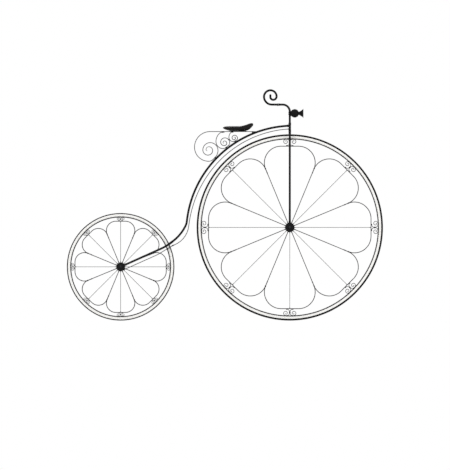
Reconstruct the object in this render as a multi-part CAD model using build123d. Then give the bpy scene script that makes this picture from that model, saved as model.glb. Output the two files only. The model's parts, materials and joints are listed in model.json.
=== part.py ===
from build123d import *

import os
from math import asin, cos, degrees, radians, sin, sqrt

# Penny farthing in black enamelled wrought iron, millimetres.
# Drawing frame: x forward and z up from the ground under the front axle, y to the left.
# The finished solids are shifted so that the origin lies on the middle of the saddle's top.

# Wheels --------------------------------------------------------------------------------------
WHEEL_BASE = 1198.0
PETALS = 8
PETAL_PITCH = 360.0 / PETALS
FRONT = {
    "name": "front",
    "x": 0.0,
    "radius": 660.0,          # a 52 inch wheel
    "tyre_depth": 12.7,       # rubber that stands above the rim
    "tyre_width": 22.0,
    "tyre_seat": 4.7,         # depth of the rim's channel
    "rim_depth": 16.7,
    "rim_wall": 3.0,
    "hoop_depth": 7.2,
    "hoop_width": 14.0,
    "crown": 575.3,           # centre line of the petals' flat crowns
    "corner": 117.5,          # radius of a petal's shoulders
    "hub": 34.0,
    "barrel": 20.0,
    "flange_y": 30.0,
    "flange_width": 6.0,
    "scroll_scale": 1.0,
    "scroll_bar": 4.2,
}
REAR = {
    "name": "rear",
    "x": -WHEEL_BASE,
    "radius": 381.0,          # a 30 inch wheel
    "tyre_depth": 7.6,
    "tyre_width": 18.0,
    "tyre_seat": 4.0,
    "rim_depth": 17.1,
    "rim_wall": 2.5,
    "hoop_depth": 7.0,
    "hoop_width": 12.0,
    "crown": 323.1,
    "corner": 66.7,
    "hub": 32.0,
    "barrel": 14.0,
    "flange_y": 20.0,
    "flange_width": 6.0,
    "scroll_scale": 0.575,
    "scroll_bar": 3.2,
}
TYRE_BEVELS = [               # share of the tyre's depth, share of its half width
    (0.74, 0.76),
    (1.0, 0.26),
]
RIM_WAIST = 0.35              # where the rim's sides bulge most, from its inner edge to the channel
RIM_SWELL = 1.0               # how far they bulge beyond the straight taper
PETAL_BAR = 5.6               # thickness of the petals' flat bar, seen from the side
PETAL_WIDTH = 10.0            # its width across the wheel
PETAL_LEG = 26.0              # straight leg below each pair of shoulders
SPOKE_R = 2.6
SPOKE_SPREAD = 2.9            # two spokes meet a petal leg this far either side of its middle
THIN_SPOKE_R = 1.6
THIN_SPREAD = 2.1
SPOKE_ROOT = 6.0              # spokes start this far inside the flanges' edge
SPOKE_TRIM = 8.0              # they are made this much too long, then cut square
SPOKE_CUT = 20.0              # width of the block that cuts them
SCROLL_WIDTH = 8.0
SCROLL_STEP = 5.0             # a wheel scroll lies this far along the petal's crown
SCROLL_BEND_R = 17.0          # and bends up into its stem, then over along the hoop
SCROLL_CURL = [               # its curl: radius (0 is straight), turn in degrees or length
    (0.0, 10.0),
    (14.6, -180.0),
    (12.0, -90.0),
    (8.0, -90.0),
    (5.0, -60.0),
]
HOOP_BITE = 0.6               # its back is trimmed by this much to lie along the hoop
HUB_FACE = 0.5                # the barrel stands this far beyond its flanges
FRONT_AXLE_R = 9.0
CRANK_SEAT_R = 8.0
CRANK_SEAT_LENGTH = 18.0
JOURNAL_PROUD = 1.0           # the journal stands this far out of the fork end
REAR_AXLE_R = 6.0
RUNNING_GAP = 0.05

# Steering ------------------------------------------------------------------------------------
TUBE_R = 7.5                  # column, fork, backbone and handlebar
FORK_Y = 46.0
FORK_END_WIDTH = 14.0
FORK_END_R = 34.0
FORK_SOCKET_R = 8.3
FORK_SOCKET_RISE = 46.0       # the leg's foot above the axle
CROWN_BOTTOM = 1326.0
CROWN_TOP = 1338.0
CROWN_HALF_WIDTH = 54.0
CROWN_R = 8.5
RACE_TOP = 1343.7
RACE_R = 9.5
HEAD_BOTTOM = 1344.0
HEAD_TOP = 1392.0
HEAD_R = 9.5
SPINDLE_R = 6.0
LOCK_RING_BOTTOM = 1392.3
LOCK_RING_TOP = 1400.0
STEM_BEND_Z = 1480.0
STEM_BEND_R = 50.0
BAR_X = -85.0                 # handlebar's cross piece
BAR_Z = STEM_BEND_Z + STEM_BEND_R
BAR_HALF_SPAN = 249.5
BAR_CORNER_R = 35.0
BAR_LUG_R = 9.2
BAR_LUG_HALF = 18.0
BAR_LUG_SOCKET = 15.0
BAR_SOCKET_R = 8.6
GRIP_START_X = -127.0
GRIP_RUNS = [                 # radius (0 is straight), turn in degrees or length
    (55.7, -90.0),
    (45.7, -90.0),
    (43.5, -90.0),
    (24.0, -90.0),
    (20.0, -90.0),
    (0.0, 12.0),
]

# Horn ----------------------------------------------------------------------------------------
HORN_Z = 1468.0
BULB_X = 35.0
BULB_R = 30.5
BULB_SEAT_X = 12.5
BULB_FRONT_X = 60.0
HORN_COLLAR_R = 10.5
HORN_COLLAR_HALF = 12.0
HORN_PLATE_X = 7.5
HORN_PLATE_R = 19.5
NECK_R = 13.0
NECK_END_X = 68.0
MOUTH_X = 96.5
MOUTH_R = 32.5
BELL_WALL = 2.0
BELL_FLARE = (83.2, 21.8)     # x and radius half way along the flare
THROAT_FLARE = (84.3, 20.1)   # the same inside

# Frame ---------------------------------------------------------------------------------------
STAY_Y = 38.0
FORK_STUB = 44.0              # rear blades start this far from the rear axle
BLADE_HEADING = 24.2
BLADE_RUNS = [                # radius (0 is straight), turn in degrees or length
    (0.0, 273.4),
    (302.0, 12.7),
]
CROWN_STUB = 14.0
BACKBONE_RUNS = [             # the reverse bend between the rear fork and the long arc
    (302.0, 27.4),
    (93.7, 19.6),
]
BACKBONE_R = 758.0            # the long arc over the front wheel
HEAD_SOCKET_R = 9.0
HEAD_SOCKET_X = -16.0         # where the backbone and the rail meet the head's sockets
REAR_CROWN_R = 9.0
REAR_CROWN_HALF = 46.0
RAIL_R = 2.6
RAIL_START = (-828.0, 532.5)
RAIL_HEADING = 21.1
RAIL_RUNS = [
    (162.5, 62.5),
    (793.0, -34.9),
]
RAIL_TOP_R = 746.8
BRIDGE_R = 4.6
BRIDGE_HALF = 42.0
BRIDGE_STUB = 10.0
STAY_KNEE = (-937.0, 467.0)
STAY_FOOT = (-1163.0, 366.0)
STAY_KNEE_CUT = 10.0          # the knee's bend starts this far either side of it
STAY_STUB_R = 3.6
STAY_ROOT = 16.0              # the stay's stub reaches this far into the fork end
REAR_END_R = 32.0
REAR_END_WIDTH = 17.0
NUT_R = 10.0
NUT_HEX = 6.0                 # height of the nut's six flats
NUT_HEIGHT = 12.0
NUT_DOME_R = 7.5

# Saddle and its scrolled spring ---------------------------------------------------------------
RIBBON = 5.0
RIBBON_WIDTH = 22.0
SPRING_Z = 1338.9             # middle of the spring's level top leaf
SPRING_FRONT_X = -244.0       # the top leaf ends here, hollowed to clear the backbone
LEAF_GAP = 0.5
SEAT_GAP = 1.5                # thickness of a seat pad at its thinnest
SEAT_LENGTH = 14.0
SEAT_WIDTH = 18.0
FRONT_SEAT_INSET = 11.0       # the top leaf overhangs its front seat by this much
FRONT_SEAT_DEPTH = 11.0
SCROLLS = {
    # seat: place on the backbone's arc, degrees; back and front: runs away from the seat, each
    # (radius or 0, turn in degrees or length), back towards the top leaf, front towards the eye
    "big": {
        "seat": 136.1,
        "back": [(0.0, 20.0), (43.1, -46.1), (99.9, -90.0)],
        "front": [(0.0, 3.6), (67.5, 43.9), (55.1, 90.0), (52.2, 90.0), (36.4, 90.0),
                  (33.0, 90.0), (26.6, 90.0), (20.0, 90.0), (9.0, 80.0)],
    },
    "middle": {
        "seat": 128.2,
        "back": [(0.0, 4.0), (30.0, -38.2), (50.0, -90.0), (79.7, -45.0)],
        "front": [(0.0, 20.0), (26.2, 51.8), (34.0, 90.0), (30.0, 90.0), (25.0, 90.0),
                  (18.0, 90.0), (15.0, 90.0), (11.0, 90.0), (6.0, 70.0)],
    },
    "small": {
        "seat": 122.5,
        "back": [(0.0, 2.0), (18.0, -32.5), (31.0, -90.0), (48.2, -45.0)],
        "front": [(0.0, 14.0), (15.3, 57.5), (21.0, 90.0), (18.0, 90.0), (14.0, 90.0),
                  (11.0, 90.0), (8.0, 90.0), (4.0, 60.0)],
    },
}
SCROLL_FOOT = 13.0
PLATE_X = (-428.0, -306.0)
PLATE_HALF_WIDTH = 28.0
PLATE_THICKNESS = 4.0
SADDLE_BLOCK = 200.0          # width and height of the block that the saddle is cut from
SADDLE_TOP = 1377.6
SADDLE_MIDDLE_X = -390.0
SADDLE_SIDE = [               # x, z of the saddle seen from the side, from the rear bottom edge
    (-424.0, 1345.4), (-312.0, 1345.4), (-297.0, 1349.0), (-272.0, 1368.0), (-259.0, 1386.0),
    (-263.0, 1397.0), (-272.0, 1400.0), (-310.0, 1387.5), (-345.0, SADDLE_TOP),
    (-436.0, SADDLE_TOP), (-459.0, 1375.5), (-473.0, 1367.0), (-468.0, 1361.0), (-452.5, 1351.0),
]
SADDLE_PLAN = [               # x, half width of the saddle seen from above, from rear to nose
    (-473.0, 34.0), (-466.0, 62.0), (-448.0, 80.0), (-420.0, 85.0), (-390.0, 78.0),
    (-355.0, 54.0), (-325.0, 34.0), (-290.0, 26.0), (-266.0, 23.0), (-259.0, 14.0),
]


# Paths: a run is (radius, turn) for an arc, left turns positive, or (0, length) when straight --
def advance(state, run):
    """Position and heading (x, z, heading) after one run."""
    x, z, heading = state
    radius, amount = run
    if radius == 0:
        return x + amount * cos(radians(heading)), z + amount * sin(radians(heading)), heading
    side = radius if amount > 0 else -radius
    new = heading + amount
    return (
        x + side * (sin(radians(new)) - sin(radians(heading))),
        z - side * (cos(radians(new)) - cos(radians(heading))),
        new,
    )


def follow(state, runs):
    """Position and heading after a list of runs."""
    for run in runs:
        state = advance(state, run)
    return state


def shifted(state, offset, place):
    """Point `offset` to the left of a path's state, put into space by `place`."""
    x, z, heading = state
    return place(x - offset * sin(radians(heading)), z + offset * cos(radians(heading)))


def edges_of(state, runs, place, offset=0.0):
    """Lines and arcs along a path, or along its parallel at `offset`."""
    edges = []
    for radius, amount in runs:
        middle = advance(state, (radius, amount / 2))
        end = advance(state, (radius, amount))
        ends = [shifted(s, offset, place) for s in (state, middle, end)]
        edges.append(Line(ends[0], ends[2]) if radius == 0 else ThreePointArc(*ends))
        state = end
    return edges


def flat(x, z):
    """A point of a drawing laid in the XY plane."""
    return (x, z, 0)


def ribbon_face(state, runs, thickness):
    """Face of a bar of constant thickness along a path, drawn in the XY plane."""
    half = thickness / 2
    end = follow(state, runs)
    left = edges_of(state, runs, flat, half)
    right = edges_of(state, runs, flat, -half)
    caps = [
        Line(shifted(state, half, flat), shifted(state, -half, flat)),
        Line(shifted(end, half, flat), shifted(end, -half, flat)),
    ]
    return make_face(Wire(left + right + caps))


def stand(face, width):
    """Raise a face drawn in the XY plane into the bicycle's plane, `width` wide across it."""
    return Rot(90, 0, 0) * extrude(face, width / 2, both=True)


def upright(y):
    """Placing function for a path in the upright plane at y."""
    return lambda x, z: (x, y, z)


def rod_along(edges, radius):
    """Round bar along tangent edges."""
    path = Wire(edges)
    start = Plane(origin=path @ 0, z_dir=path % 0)
    return sweep(start * Circle(radius), path=path)


def cylinder_between(start, end, radius):
    """Round bar between two points."""
    run = Vector(*end) - Vector(*start)
    plane = Plane(origin=start, z_dir=run)
    return plane * Cylinder(radius, run.length, align=(Align.CENTER, Align.CENTER, Align.MIN))


def disc(x, y, z, radius, width):
    """Disc whose axis is along y."""
    return Pos(x, y, z) * Rot(90, 0, 0) * Cylinder(radius, width)


def around(shape, count, first=0.0):
    """Copies of a shape turned about the y axis."""
    return [Rot(0, first + 360.0 * k / count, 0) * shape for k in range(count)]


def solids_of(shapes):
    """One compound of separate solids."""
    return Compound(children=[s for shape in shapes for s in shape.solids()])


# Wheels: each is drawn about its own axle at the origin ----------------------------------------
def tyre(w):
    """Solid rubber with a bevelled crown, square in the rim's channel."""
    half = w["tyre_width"] / 2
    rim_top = w["radius"] - w["tyre_depth"]
    right = [(rim_top - w["tyre_seat"], half), (rim_top, half)]
    right += [(rim_top + out * w["tyre_depth"], y * half) for out, y in TYRE_BEVELS]
    left = [(r, -y) for r, y in reversed(right)]
    return revolve(make_face(Polyline(*(right + left), close=True)), axis=Axis.Y)


def rim(w):
    """Channelled band between the tyre and the hoop."""
    channel = w["tyre_width"] / 2
    outer = channel + w["rim_wall"]
    top = w["radius"] - w["tyre_depth"]
    floor = top - w["tyre_seat"]
    bottom = top - w["rim_depth"]
    inner = w["hoop_width"] / 2
    waist = (outer + inner) / 2 + RIM_SWELL
    waist_r = bottom + (floor - bottom) * RIM_WAIST
    outline = [
        Polyline((floor, channel), (top, channel), (top, outer), (floor, outer)),
        ThreePointArc((floor, outer), (waist_r, waist), (bottom, inner)),
        Line((bottom, inner), (bottom, -inner)),
        ThreePointArc((bottom, -inner), (waist_r, -waist), (floor, -outer)),
        Polyline((floor, -outer), (top, -outer), (top, -channel), (floor, -channel)),
        Line((floor, -channel), (floor, channel)),
    ]
    return revolve(make_face(Wire([e for line in outline for e in line.edges()])), axis=Axis.Y)


def hoop_radii(w):
    """Inner and outer radius of the hoop."""
    outer = w["radius"] - w["tyre_depth"] - w["rim_depth"]
    return outer - w["hoop_depth"], outer


def hoop(w):
    """Flat iron hoop inside the rim, which carries the scrolls."""
    inner, outer = hoop_radii(w)
    ring = Circle(outer) - Circle(inner)
    return stand(ring, w["hoop_width"])


def petal_shape(w):
    """Half length of a petal's crown, and where its shoulder leaves the leg."""
    half_pitch = radians(PETAL_PITCH / 2)
    arc_height = w["crown"] - w["corner"]
    half_crown = (arc_height * sin(half_pitch) - w["corner"]) / cos(half_pitch)
    tangent = half_crown * sin(half_pitch) + arc_height * cos(half_pitch)
    return half_crown, tangent


def leg_foot(w):
    """Radius at which the petal legs begin and the main spokes end."""
    return petal_shape(w)[1] - PETAL_LEG


def petals(w):
    """Scalloped ring of eight round-shouldered arches, with a short leg between each two."""
    half_crown, tangent = petal_shape(w)
    shoulder = 90.0 + PETAL_PITCH / 2
    foot = leg_foot(w)
    start = (foot * cos(radians(shoulder)), foot * sin(radians(shoulder)), shoulder)
    runs = [
        (0.0, tangent - foot),
        (w["corner"], -shoulder),
        (0.0, 2 * half_crown),
        (w["corner"], -shoulder),
        (0.0, tangent - foot),
    ]
    arch = ribbon_face(start, runs, PETAL_BAR)
    arches = [Rot(0, 0, PETAL_PITCH * k) * arch for k in range(PETALS)]
    ring = arches[0]
    for other in arches[1:]:
        ring = ring + other
    return stand(ring, PETAL_WIDTH)


def scroll_pair(w):
    """Two C scrolls that share a stem between a petal's crown and the hoop."""
    scale = w["scroll_scale"]
    bar = w["scroll_bar"]
    crown_top = w["crown"] + PETAL_BAR / 2
    reach = hoop_radii(w)[0] + bar / 2 + HOOP_BITE
    step = SCROLL_STEP * scale
    bend_r = SCROLL_BEND_R * scale
    start = (bar / 2 + bend_r + step, crown_top + bar / 2, 180.0)
    stem = reach - start[1] - bar / 2 - 2 * bend_r
    curl = [(0.0, step), (bend_r, -90.0), (0.0, stem), (bend_r, -90.0)]
    curl += [(r * scale, a if r else a * scale) for r, a in SCROLL_CURL]
    right = ribbon_face(start, curl, bar)
    left = mirror(right, about=Plane.YZ)
    within = Circle(hoop_radii(w)[0])
    return stand((right + left) & within, SCROLL_WIDTH)


def flange_disc(w, side):
    """One of the hub's two spoke flanges."""
    return disc(0, side * w["flange_y"], 0, w["hub"], w["flange_width"])


def spokes(w, radius, spread, reach, first):
    """Round spokes from both flanges to a ring at `reach`, one pair for each petal."""
    pair = []
    for side in (-1, 1):
        foot = (0, side * w["flange_y"], w["hub"] - SPOKE_ROOT)
        tip = (0, side * spread, reach)
        run = Vector(*tip) - Vector(*foot)
        beyond = Vector(*tip) + run * (SPOKE_TRIM / run.length)
        rod = cylinder_between(foot, tuple(beyond), radius)
        slab = Pos(0, 0, reach / 2) * Box(SPOKE_CUT, 4 * w["flange_y"], reach)
        pair.append((rod & slab) - flange_disc(w, side))
    return solids_of([s for one in pair for s in around(one, PETALS, first)])


def main_spokes(w):
    """Sixteen spokes to the petals' legs."""
    return spokes(w, SPOKE_R, SPOKE_SPREAD, leg_foot(w), PETAL_PITCH / 2)


def thin_spokes(w):
    """Sixteen slender spokes to the middle of the petals' crowns."""
    return spokes(w, THIN_SPOKE_R, THIN_SPREAD, w["crown"] - PETAL_BAR / 2, 0.0)


def hub_half_length(w):
    """Half of the hub's length along the axle."""
    return w["flange_y"] + w["flange_width"] / 2 + HUB_FACE


def hub(w):
    """Spool shaped hub with two flanges."""
    barrel = disc(0, 0, 0, w["barrel"], 2 * hub_half_length(w))
    return barrel + flange_disc(w, -1) + flange_disc(w, 1)


def wheel_nodes(w):
    """Every piece of a wheel, moved to its axle."""
    pieces = {
        "tyre": tyre(w),
        "rim": rim(w),
        "hoop": hoop(w),
        "petals": petals(w),
        "scrolls": solids_of(around(scroll_pair(w), PETALS)),
        "main_spokes": main_spokes(w),
        "thin_spokes": thin_spokes(w),
        "hub": hub(w),
    }
    if w is REAR:
        bore = disc(0, 0, 0, REAR_AXLE_R + RUNNING_GAP, 4 * w["flange_y"])
        pieces["hub"] = pieces["hub"] - bore
    place = Pos(w["x"], 0, w["radius"])
    return {w["name"] + "_" + key: place * shape for key, shape in pieces.items()}


def front_axle():
    """Axle ends that turn with the front hub, each with a bare seat for a crank."""
    inner = hub_half_length(FRONT)
    journal = FORK_Y + FORK_END_WIDTH / 2 + JOURNAL_PROUD
    ends = []
    for side in (-1, 1):
        root = (0, side * inner, FRONT["radius"])
        neck = (0, side * journal, FRONT["radius"])
        tip = (0, side * (journal + CRANK_SEAT_LENGTH), FRONT["radius"])
        ends.append(
            cylinder_between(root, neck, FRONT_AXLE_R) + cylinder_between(neck, tip, CRANK_SEAT_R)
        )
    return solids_of(ends)


# Steering --------------------------------------------------------------------------------------
def fork_end(side):
    """Round bearing housing on the front axle, with a socket for the fork leg."""
    axle_z = FRONT["radius"]
    y = side * FORK_Y
    housing = disc(0, y, axle_z, FORK_END_R, FORK_END_WIDTH)
    socket = cylinder_between((0, y, axle_z), (0, y, axle_z + FORK_SOCKET_RISE), FORK_SOCKET_R)
    bore = disc(0, y, axle_z, FRONT_AXLE_R + RUNNING_GAP, 3 * FORK_END_WIDTH)
    return housing + socket - bore


def fork_leg(side):
    """Round fork leg beside the wheel."""
    y = side * FORK_Y
    foot = FRONT["radius"] + FORK_SOCKET_RISE
    return cylinder_between((0, y, foot), (0, y, CROWN_BOTTOM), TUBE_R)


def fork_crown():
    """Bar over the front wheel with the lower head race on it."""
    height = CROWN_TOP - CROWN_BOTTOM
    plan = Rot(0, 0, 90) * SlotOverall(2 * CROWN_HALF_WIDTH, 2 * CROWN_R)
    bar = Pos(0, 0, CROWN_BOTTOM) * extrude(plan, height)
    race = cylinder_between((0, 0, CROWN_BOTTOM), (0, 0, RACE_TOP), RACE_R)
    return bar + race


def steering_column():
    """Spindle through the head, lock ring, and the stem that bends back to the handlebar."""
    spindle = cylinder_between((0, 0, RACE_TOP), (0, 0, LOCK_RING_TOP), SPINDLE_R)
    ring = cylinder_between((0, 0, LOCK_RING_BOTTOM), (0, 0, LOCK_RING_TOP), RACE_R)
    level = STEM_BEND_R + BAR_X + BAR_LUG_SOCKET
    runs = [(0.0, STEM_BEND_Z - LOCK_RING_TOP), (STEM_BEND_R, 90.0), (0.0, -level)]
    stem = rod_along(edges_of((0.0, LOCK_RING_TOP, 90.0), runs, upright(0.0)), TUBE_R)
    return spindle + ring + stem


def handlebar_lug():
    """Short sleeve across the stem's end that holds both halves of the handlebar."""
    sleeve = disc(BAR_X, 0, BAR_Z, BAR_LUG_R, 2 * BAR_LUG_HALF)
    mouth = (BAR_X + BAR_LUG_SOCKET, 0, BAR_Z)
    socket = cylinder_between((BAR_X, 0, BAR_Z), mouth, BAR_SOCKET_R)
    return sleeve + socket


def handlebar(side):
    """Half of the handlebar: out to the side, round to the rear, and up into a scrolled grip."""
    corner_y = BAR_HALF_SPAN - BAR_CORNER_R
    root = (BAR_X, side * BAR_LUG_HALF, BAR_Z)
    bend = (BAR_X, side * corner_y, BAR_Z)
    over = BAR_CORNER_R * (1 - sqrt(0.5))
    middle = (BAR_X - over, side * (BAR_HALF_SPAN - over), BAR_Z)
    rear = (BAR_X - BAR_CORNER_R, side * BAR_HALF_SPAN, BAR_Z)
    grip = (GRIP_START_X, side * BAR_HALF_SPAN, BAR_Z)
    edges = [Line(root, bend), ThreePointArc(bend, middle, rear), Line(rear, grip)]
    place = upright(side * BAR_HALF_SPAN)
    edges += edges_of((GRIP_START_X, BAR_Z, 180.0), GRIP_RUNS, place)
    return rod_along(edges, TUBE_R)


def horn_bracket():
    """Collar round the column with a round plate for the bulb."""
    low = (0, 0, HORN_Z - HORN_COLLAR_HALF)
    high = (0, 0, HORN_Z + HORN_COLLAR_HALF)
    plate = cylinder_between((HORN_PLATE_X, 0, HORN_Z), (BULB_SEAT_X, 0, HORN_Z), HORN_PLATE_R)
    return cylinder_between(low, high, HORN_COLLAR_R) + plate - cylinder_between(low, high, TUBE_R)


def horn_bulb():
    """Rubber bulb, flat where it sits on the plate and on the bell."""
    ball = Pos(BULB_X, 0, HORN_Z) * Sphere(BULB_R)
    width = BULB_FRONT_X - BULB_SEAT_X
    keep = Pos((BULB_FRONT_X + BULB_SEAT_X) / 2, 0, HORN_Z) * Box(width, 4 * BULB_R, 4 * BULB_R)
    return ball & keep


def horn_bell():
    """Flared bell, open at the mouth."""
    neck = [Line((BULB_FRONT_X, 0), (BULB_FRONT_X, NECK_R)),
            Line((BULB_FRONT_X, NECK_R), (NECK_END_X, NECK_R))]
    outer = ThreePointArc((NECK_END_X, NECK_R), BELL_FLARE, (MOUTH_X, MOUTH_R))
    lip = Line((MOUTH_X, MOUTH_R), (MOUTH_X, MOUTH_R - BELL_WALL))
    throat_r = NECK_R - BELL_WALL
    inner = ThreePointArc((MOUTH_X, MOUTH_R - BELL_WALL), THROAT_FLARE, (NECK_END_X, throat_r))
    throat = [Line((NECK_END_X, throat_r), (NECK_END_X, 0)),
              Line((NECK_END_X, 0), (BULB_FRONT_X, 0))]
    section = make_face(Wire(neck + [outer, lip, inner] + throat))
    return Pos(0, 0, HORN_Z) * revolve(section, axis=Axis.X)


# Frame -----------------------------------------------------------------------------------------
def blade_top():
    """State at the upper end of a rear fork blade."""
    heading = radians(BLADE_HEADING)
    foot = (
        REAR["x"] + FORK_STUB * cos(heading),
        REAR["radius"] + FORK_STUB * sin(heading),
        BLADE_HEADING,
    )
    return foot, follow(foot, BLADE_RUNS)


def rear_crown_centre():
    """State at the middle of the rear fork's crown."""
    return advance(blade_top()[1], (0.0, CROWN_STUB))


def to_head(start, runs, radius):
    """Runs with a last right-hand arc that ends at the head's socket."""
    x, z, heading = follow(start, runs)
    last = degrees(asin(sin(radians(heading)) - (HEAD_SOCKET_X - x) / radius))
    return start, runs + [(radius, last - heading)]


def backbone_path():
    """Start of the backbone at the rear crown, and its runs to the head."""
    start = advance(rear_crown_centre(), (0.0, CROWN_STUB))
    return to_head(start, BACKBONE_RUNS, BACKBONE_R)


def rail_path():
    """Start of the lower rail at its bridge, and its runs to the head."""
    start = advance((*RAIL_START, RAIL_HEADING), (0.0, BRIDGE_STUB))
    return to_head(start, RAIL_RUNS, RAIL_TOP_R)


def backbone_rod(radius):
    """Round rod along the backbone's path."""
    start, runs = backbone_path()
    return rod_along(edges_of(start, runs, upright(0.0)), radius)


def backbone():
    """Curved spine from the head, over the front wheel and down to the rear fork."""
    return backbone_rod(TUBE_R)


def arc_centre():
    """Centre of the backbone's long arc."""
    x, z, heading = follow(*backbone_path())
    return x + BACKBONE_R * sin(radians(heading)), z - BACKBONE_R * cos(radians(heading))


def lower_rail():
    """Thin rail under the backbone."""
    start, runs = rail_path()
    return rod_along(edges_of(start, runs, upright(0.0)), RAIL_R)


def head_tube():
    """Head with a socket for the backbone and a smaller one for the rail."""
    tube = cylinder_between((0, 0, HEAD_BOTTOM), (0, 0, HEAD_TOP), HEAD_R)
    sockets = [
        (follow(*backbone_path()), HEAD_SOCKET_R),
        (follow(*rail_path()), STAY_STUB_R),
    ]
    for (x, z, heading), radius in sockets:
        root = advance((x, z, heading), (0.0, -x / cos(radians(heading))))
        tube = tube + cylinder_between((x, 0, z), (root[0], 0, root[1]), radius)
    bore = cylinder_between((0, 0, HEAD_BOTTOM - 1), (0, 0, HEAD_TOP + 1), SPINDLE_R + RUNNING_GAP)
    return tube - bore


def rear_fork_crown():
    """Cross bar that joins the backbone to both fork blades."""
    x, z, heading = rear_crown_centre()
    crown = disc(x, 0, z, REAR_CROWN_R, 2 * REAR_CROWN_HALF)
    ahead = advance((x, z, heading), (0.0, CROWN_STUB))
    behind = advance((x, z, heading), (0.0, -CROWN_STUB))
    crown = crown + cylinder_between((x, 0, z), (ahead[0], 0, ahead[1]), FORK_SOCKET_R)
    for side in (-1, 1):
        y = side * STAY_Y
        crown = crown + cylinder_between((x, y, z), (behind[0], y, behind[1]), FORK_SOCKET_R)
    return crown


def rear_fork_blade(side):
    """Rear fork blade beside the wheel."""
    return rod_along(edges_of(blade_top()[0], BLADE_RUNS, upright(side * STAY_Y)), TUBE_R)


def toward(start, end, length):
    """Point `length` from start on the way to end, as x, z."""
    run = Vector(end[0] - start[0], end[1] - start[1])
    return start[0] + run.X / run.length * length, start[1] + run.Y / run.length * length


def rear_fork_end(side):
    """Round fork end on the rear axle, with sockets for the blade and the stay."""
    y = side * STAY_Y
    x, z = REAR["x"], REAR["radius"]
    foot = blade_top()[0]
    stub_root = toward(STAY_FOOT, STAY_KNEE, -STAY_ROOT)
    end = disc(x, y, z, REAR_END_R, REAR_END_WIDTH)
    end = end + cylinder_between((x, y, z), (foot[0], y, foot[1]), FORK_SOCKET_R)
    end = end + cylinder_between((stub_root[0], y, stub_root[1]), (STAY_FOOT[0], y, STAY_FOOT[1]),
                                 STAY_STUB_R)
    return end - disc(x, y, z, REAR_AXLE_R, 3 * REAR_END_WIDTH)


def rear_axle():
    """Fixed axle through both rear fork ends."""
    return disc(REAR["x"], 0, REAR["radius"], REAR_AXLE_R, 2 * STAY_Y + REAR_END_WIDTH)


def rear_axle_nuts():
    """Domed nuts on the ends of the rear axle."""
    face = STAY_Y + REAR_END_WIDTH / 2
    outer = Pos(0, 0, NUT_HEIGHT / 2) * Box(2 * NUT_R, 2 * NUT_R, NUT_HEIGHT)
    dome = outer & (Pos(0, 0, NUT_HEIGHT - NUT_DOME_R) * Sphere(NUT_DOME_R))
    nut = extrude(RegularPolygon(NUT_R, 6), NUT_HEX) + dome
    left = Pos(REAR["x"], face, REAR["radius"]) * Rot(-90, 0, 0) * nut
    right = Pos(REAR["x"], -face, REAR["radius"]) * Rot(90, 0, 0) * nut
    return solids_of([left, right])


def lower_stay_bridge():
    """Cross bar at the foot of the rail, ahead of the rear wheel."""
    x, z = RAIL_START
    bar = disc(x, 0, z, BRIDGE_R, 2 * BRIDGE_HALF)
    ahead = advance((x, z, RAIL_HEADING), (0.0, BRIDGE_STUB))
    bar = bar + cylinder_between((x, 0, z), (ahead[0], 0, ahead[1]), STAY_STUB_R)
    back = toward(RAIL_START, STAY_KNEE, BRIDGE_STUB)
    for side in (-1, 1):
        y = side * STAY_Y
        bar = bar + cylinder_between((x, y, z), (back[0], y, back[1]), STAY_STUB_R)
    return bar


def lower_stay(side):
    """Thin stay under a fork blade, from the bridge to the fork end."""
    y = side * STAY_Y
    top = toward(RAIL_START, STAY_KNEE, BRIDGE_STUB)
    knee = STAY_KNEE
    bend_in = toward(knee, STAY_FOOT, STAY_KNEE_CUT)
    bend_out = toward(knee, top, STAY_KNEE_CUT)
    tip = tuple((a + b + 2 * k) / 4 for a, b, k in zip(bend_in, bend_out, knee))
    foot, low, mid, high, head = (
        (p[0], y, p[1]) for p in (STAY_FOOT, bend_in, tip, bend_out, top)
    )
    edges = [Line(foot, low), ThreePointArc(low, mid, high), Line(high, head)]
    return rod_along(edges, RAIL_R)


# Saddle ----------------------------------------------------------------------------------------
def seat_state(name):
    """Middle of a scroll's seat on the backbone, heading forward."""
    centre_x, centre_z = arc_centre()
    angle = radians(SCROLLS[name]["seat"])
    radius = BACKBONE_R + TUBE_R + SEAT_GAP + RIBBON / 2
    return (
        centre_x + radius * cos(angle),
        centre_z + radius * sin(angle),
        SCROLLS[name]["seat"] - 90.0,
    )


def scroll_path(name, level, foot_end=None):
    """Start and runs of a scroll from its top leaf at `level`, round its seat, to its eye."""
    x, z, heading = seat_state(name)
    back = SCROLLS[name]["back"]
    outer = follow((x, z, heading + 180.0), back)
    rest = outer[2]
    radius = (level - outer[1]) / (1 - cos(radians(rest)))
    top = advance(outer, (radius, -rest))
    foot = SCROLL_FOOT if foot_end is None else foot_end - top[0]
    runs = [(0.0, foot), (radius, rest)]
    runs += [(r, a if r == 0 else -a) for r, a in reversed(back)]
    front = SCROLLS[name]["front"]
    return (top[0] + foot, level, 180.0), runs + front


def saddle_spring():
    """Top leaf and big scroll in one ribbon, the leaf's end hollowed over the backbone."""
    start, runs = scroll_path("big", SPRING_Z, SPRING_FRONT_X)
    ribbon = stand(ribbon_face(start, runs, RIBBON), RIBBON_WIDTH)
    return ribbon - backbone_rod(TUBE_R + LEAF_GAP)


def saddle_scroll(name):
    """Scroll that hangs under the top leaf."""
    start, runs = scroll_path(name, SPRING_Z - RIBBON)
    return stand(ribbon_face(start, runs, RIBBON), RIBBON_WIDTH)


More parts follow.
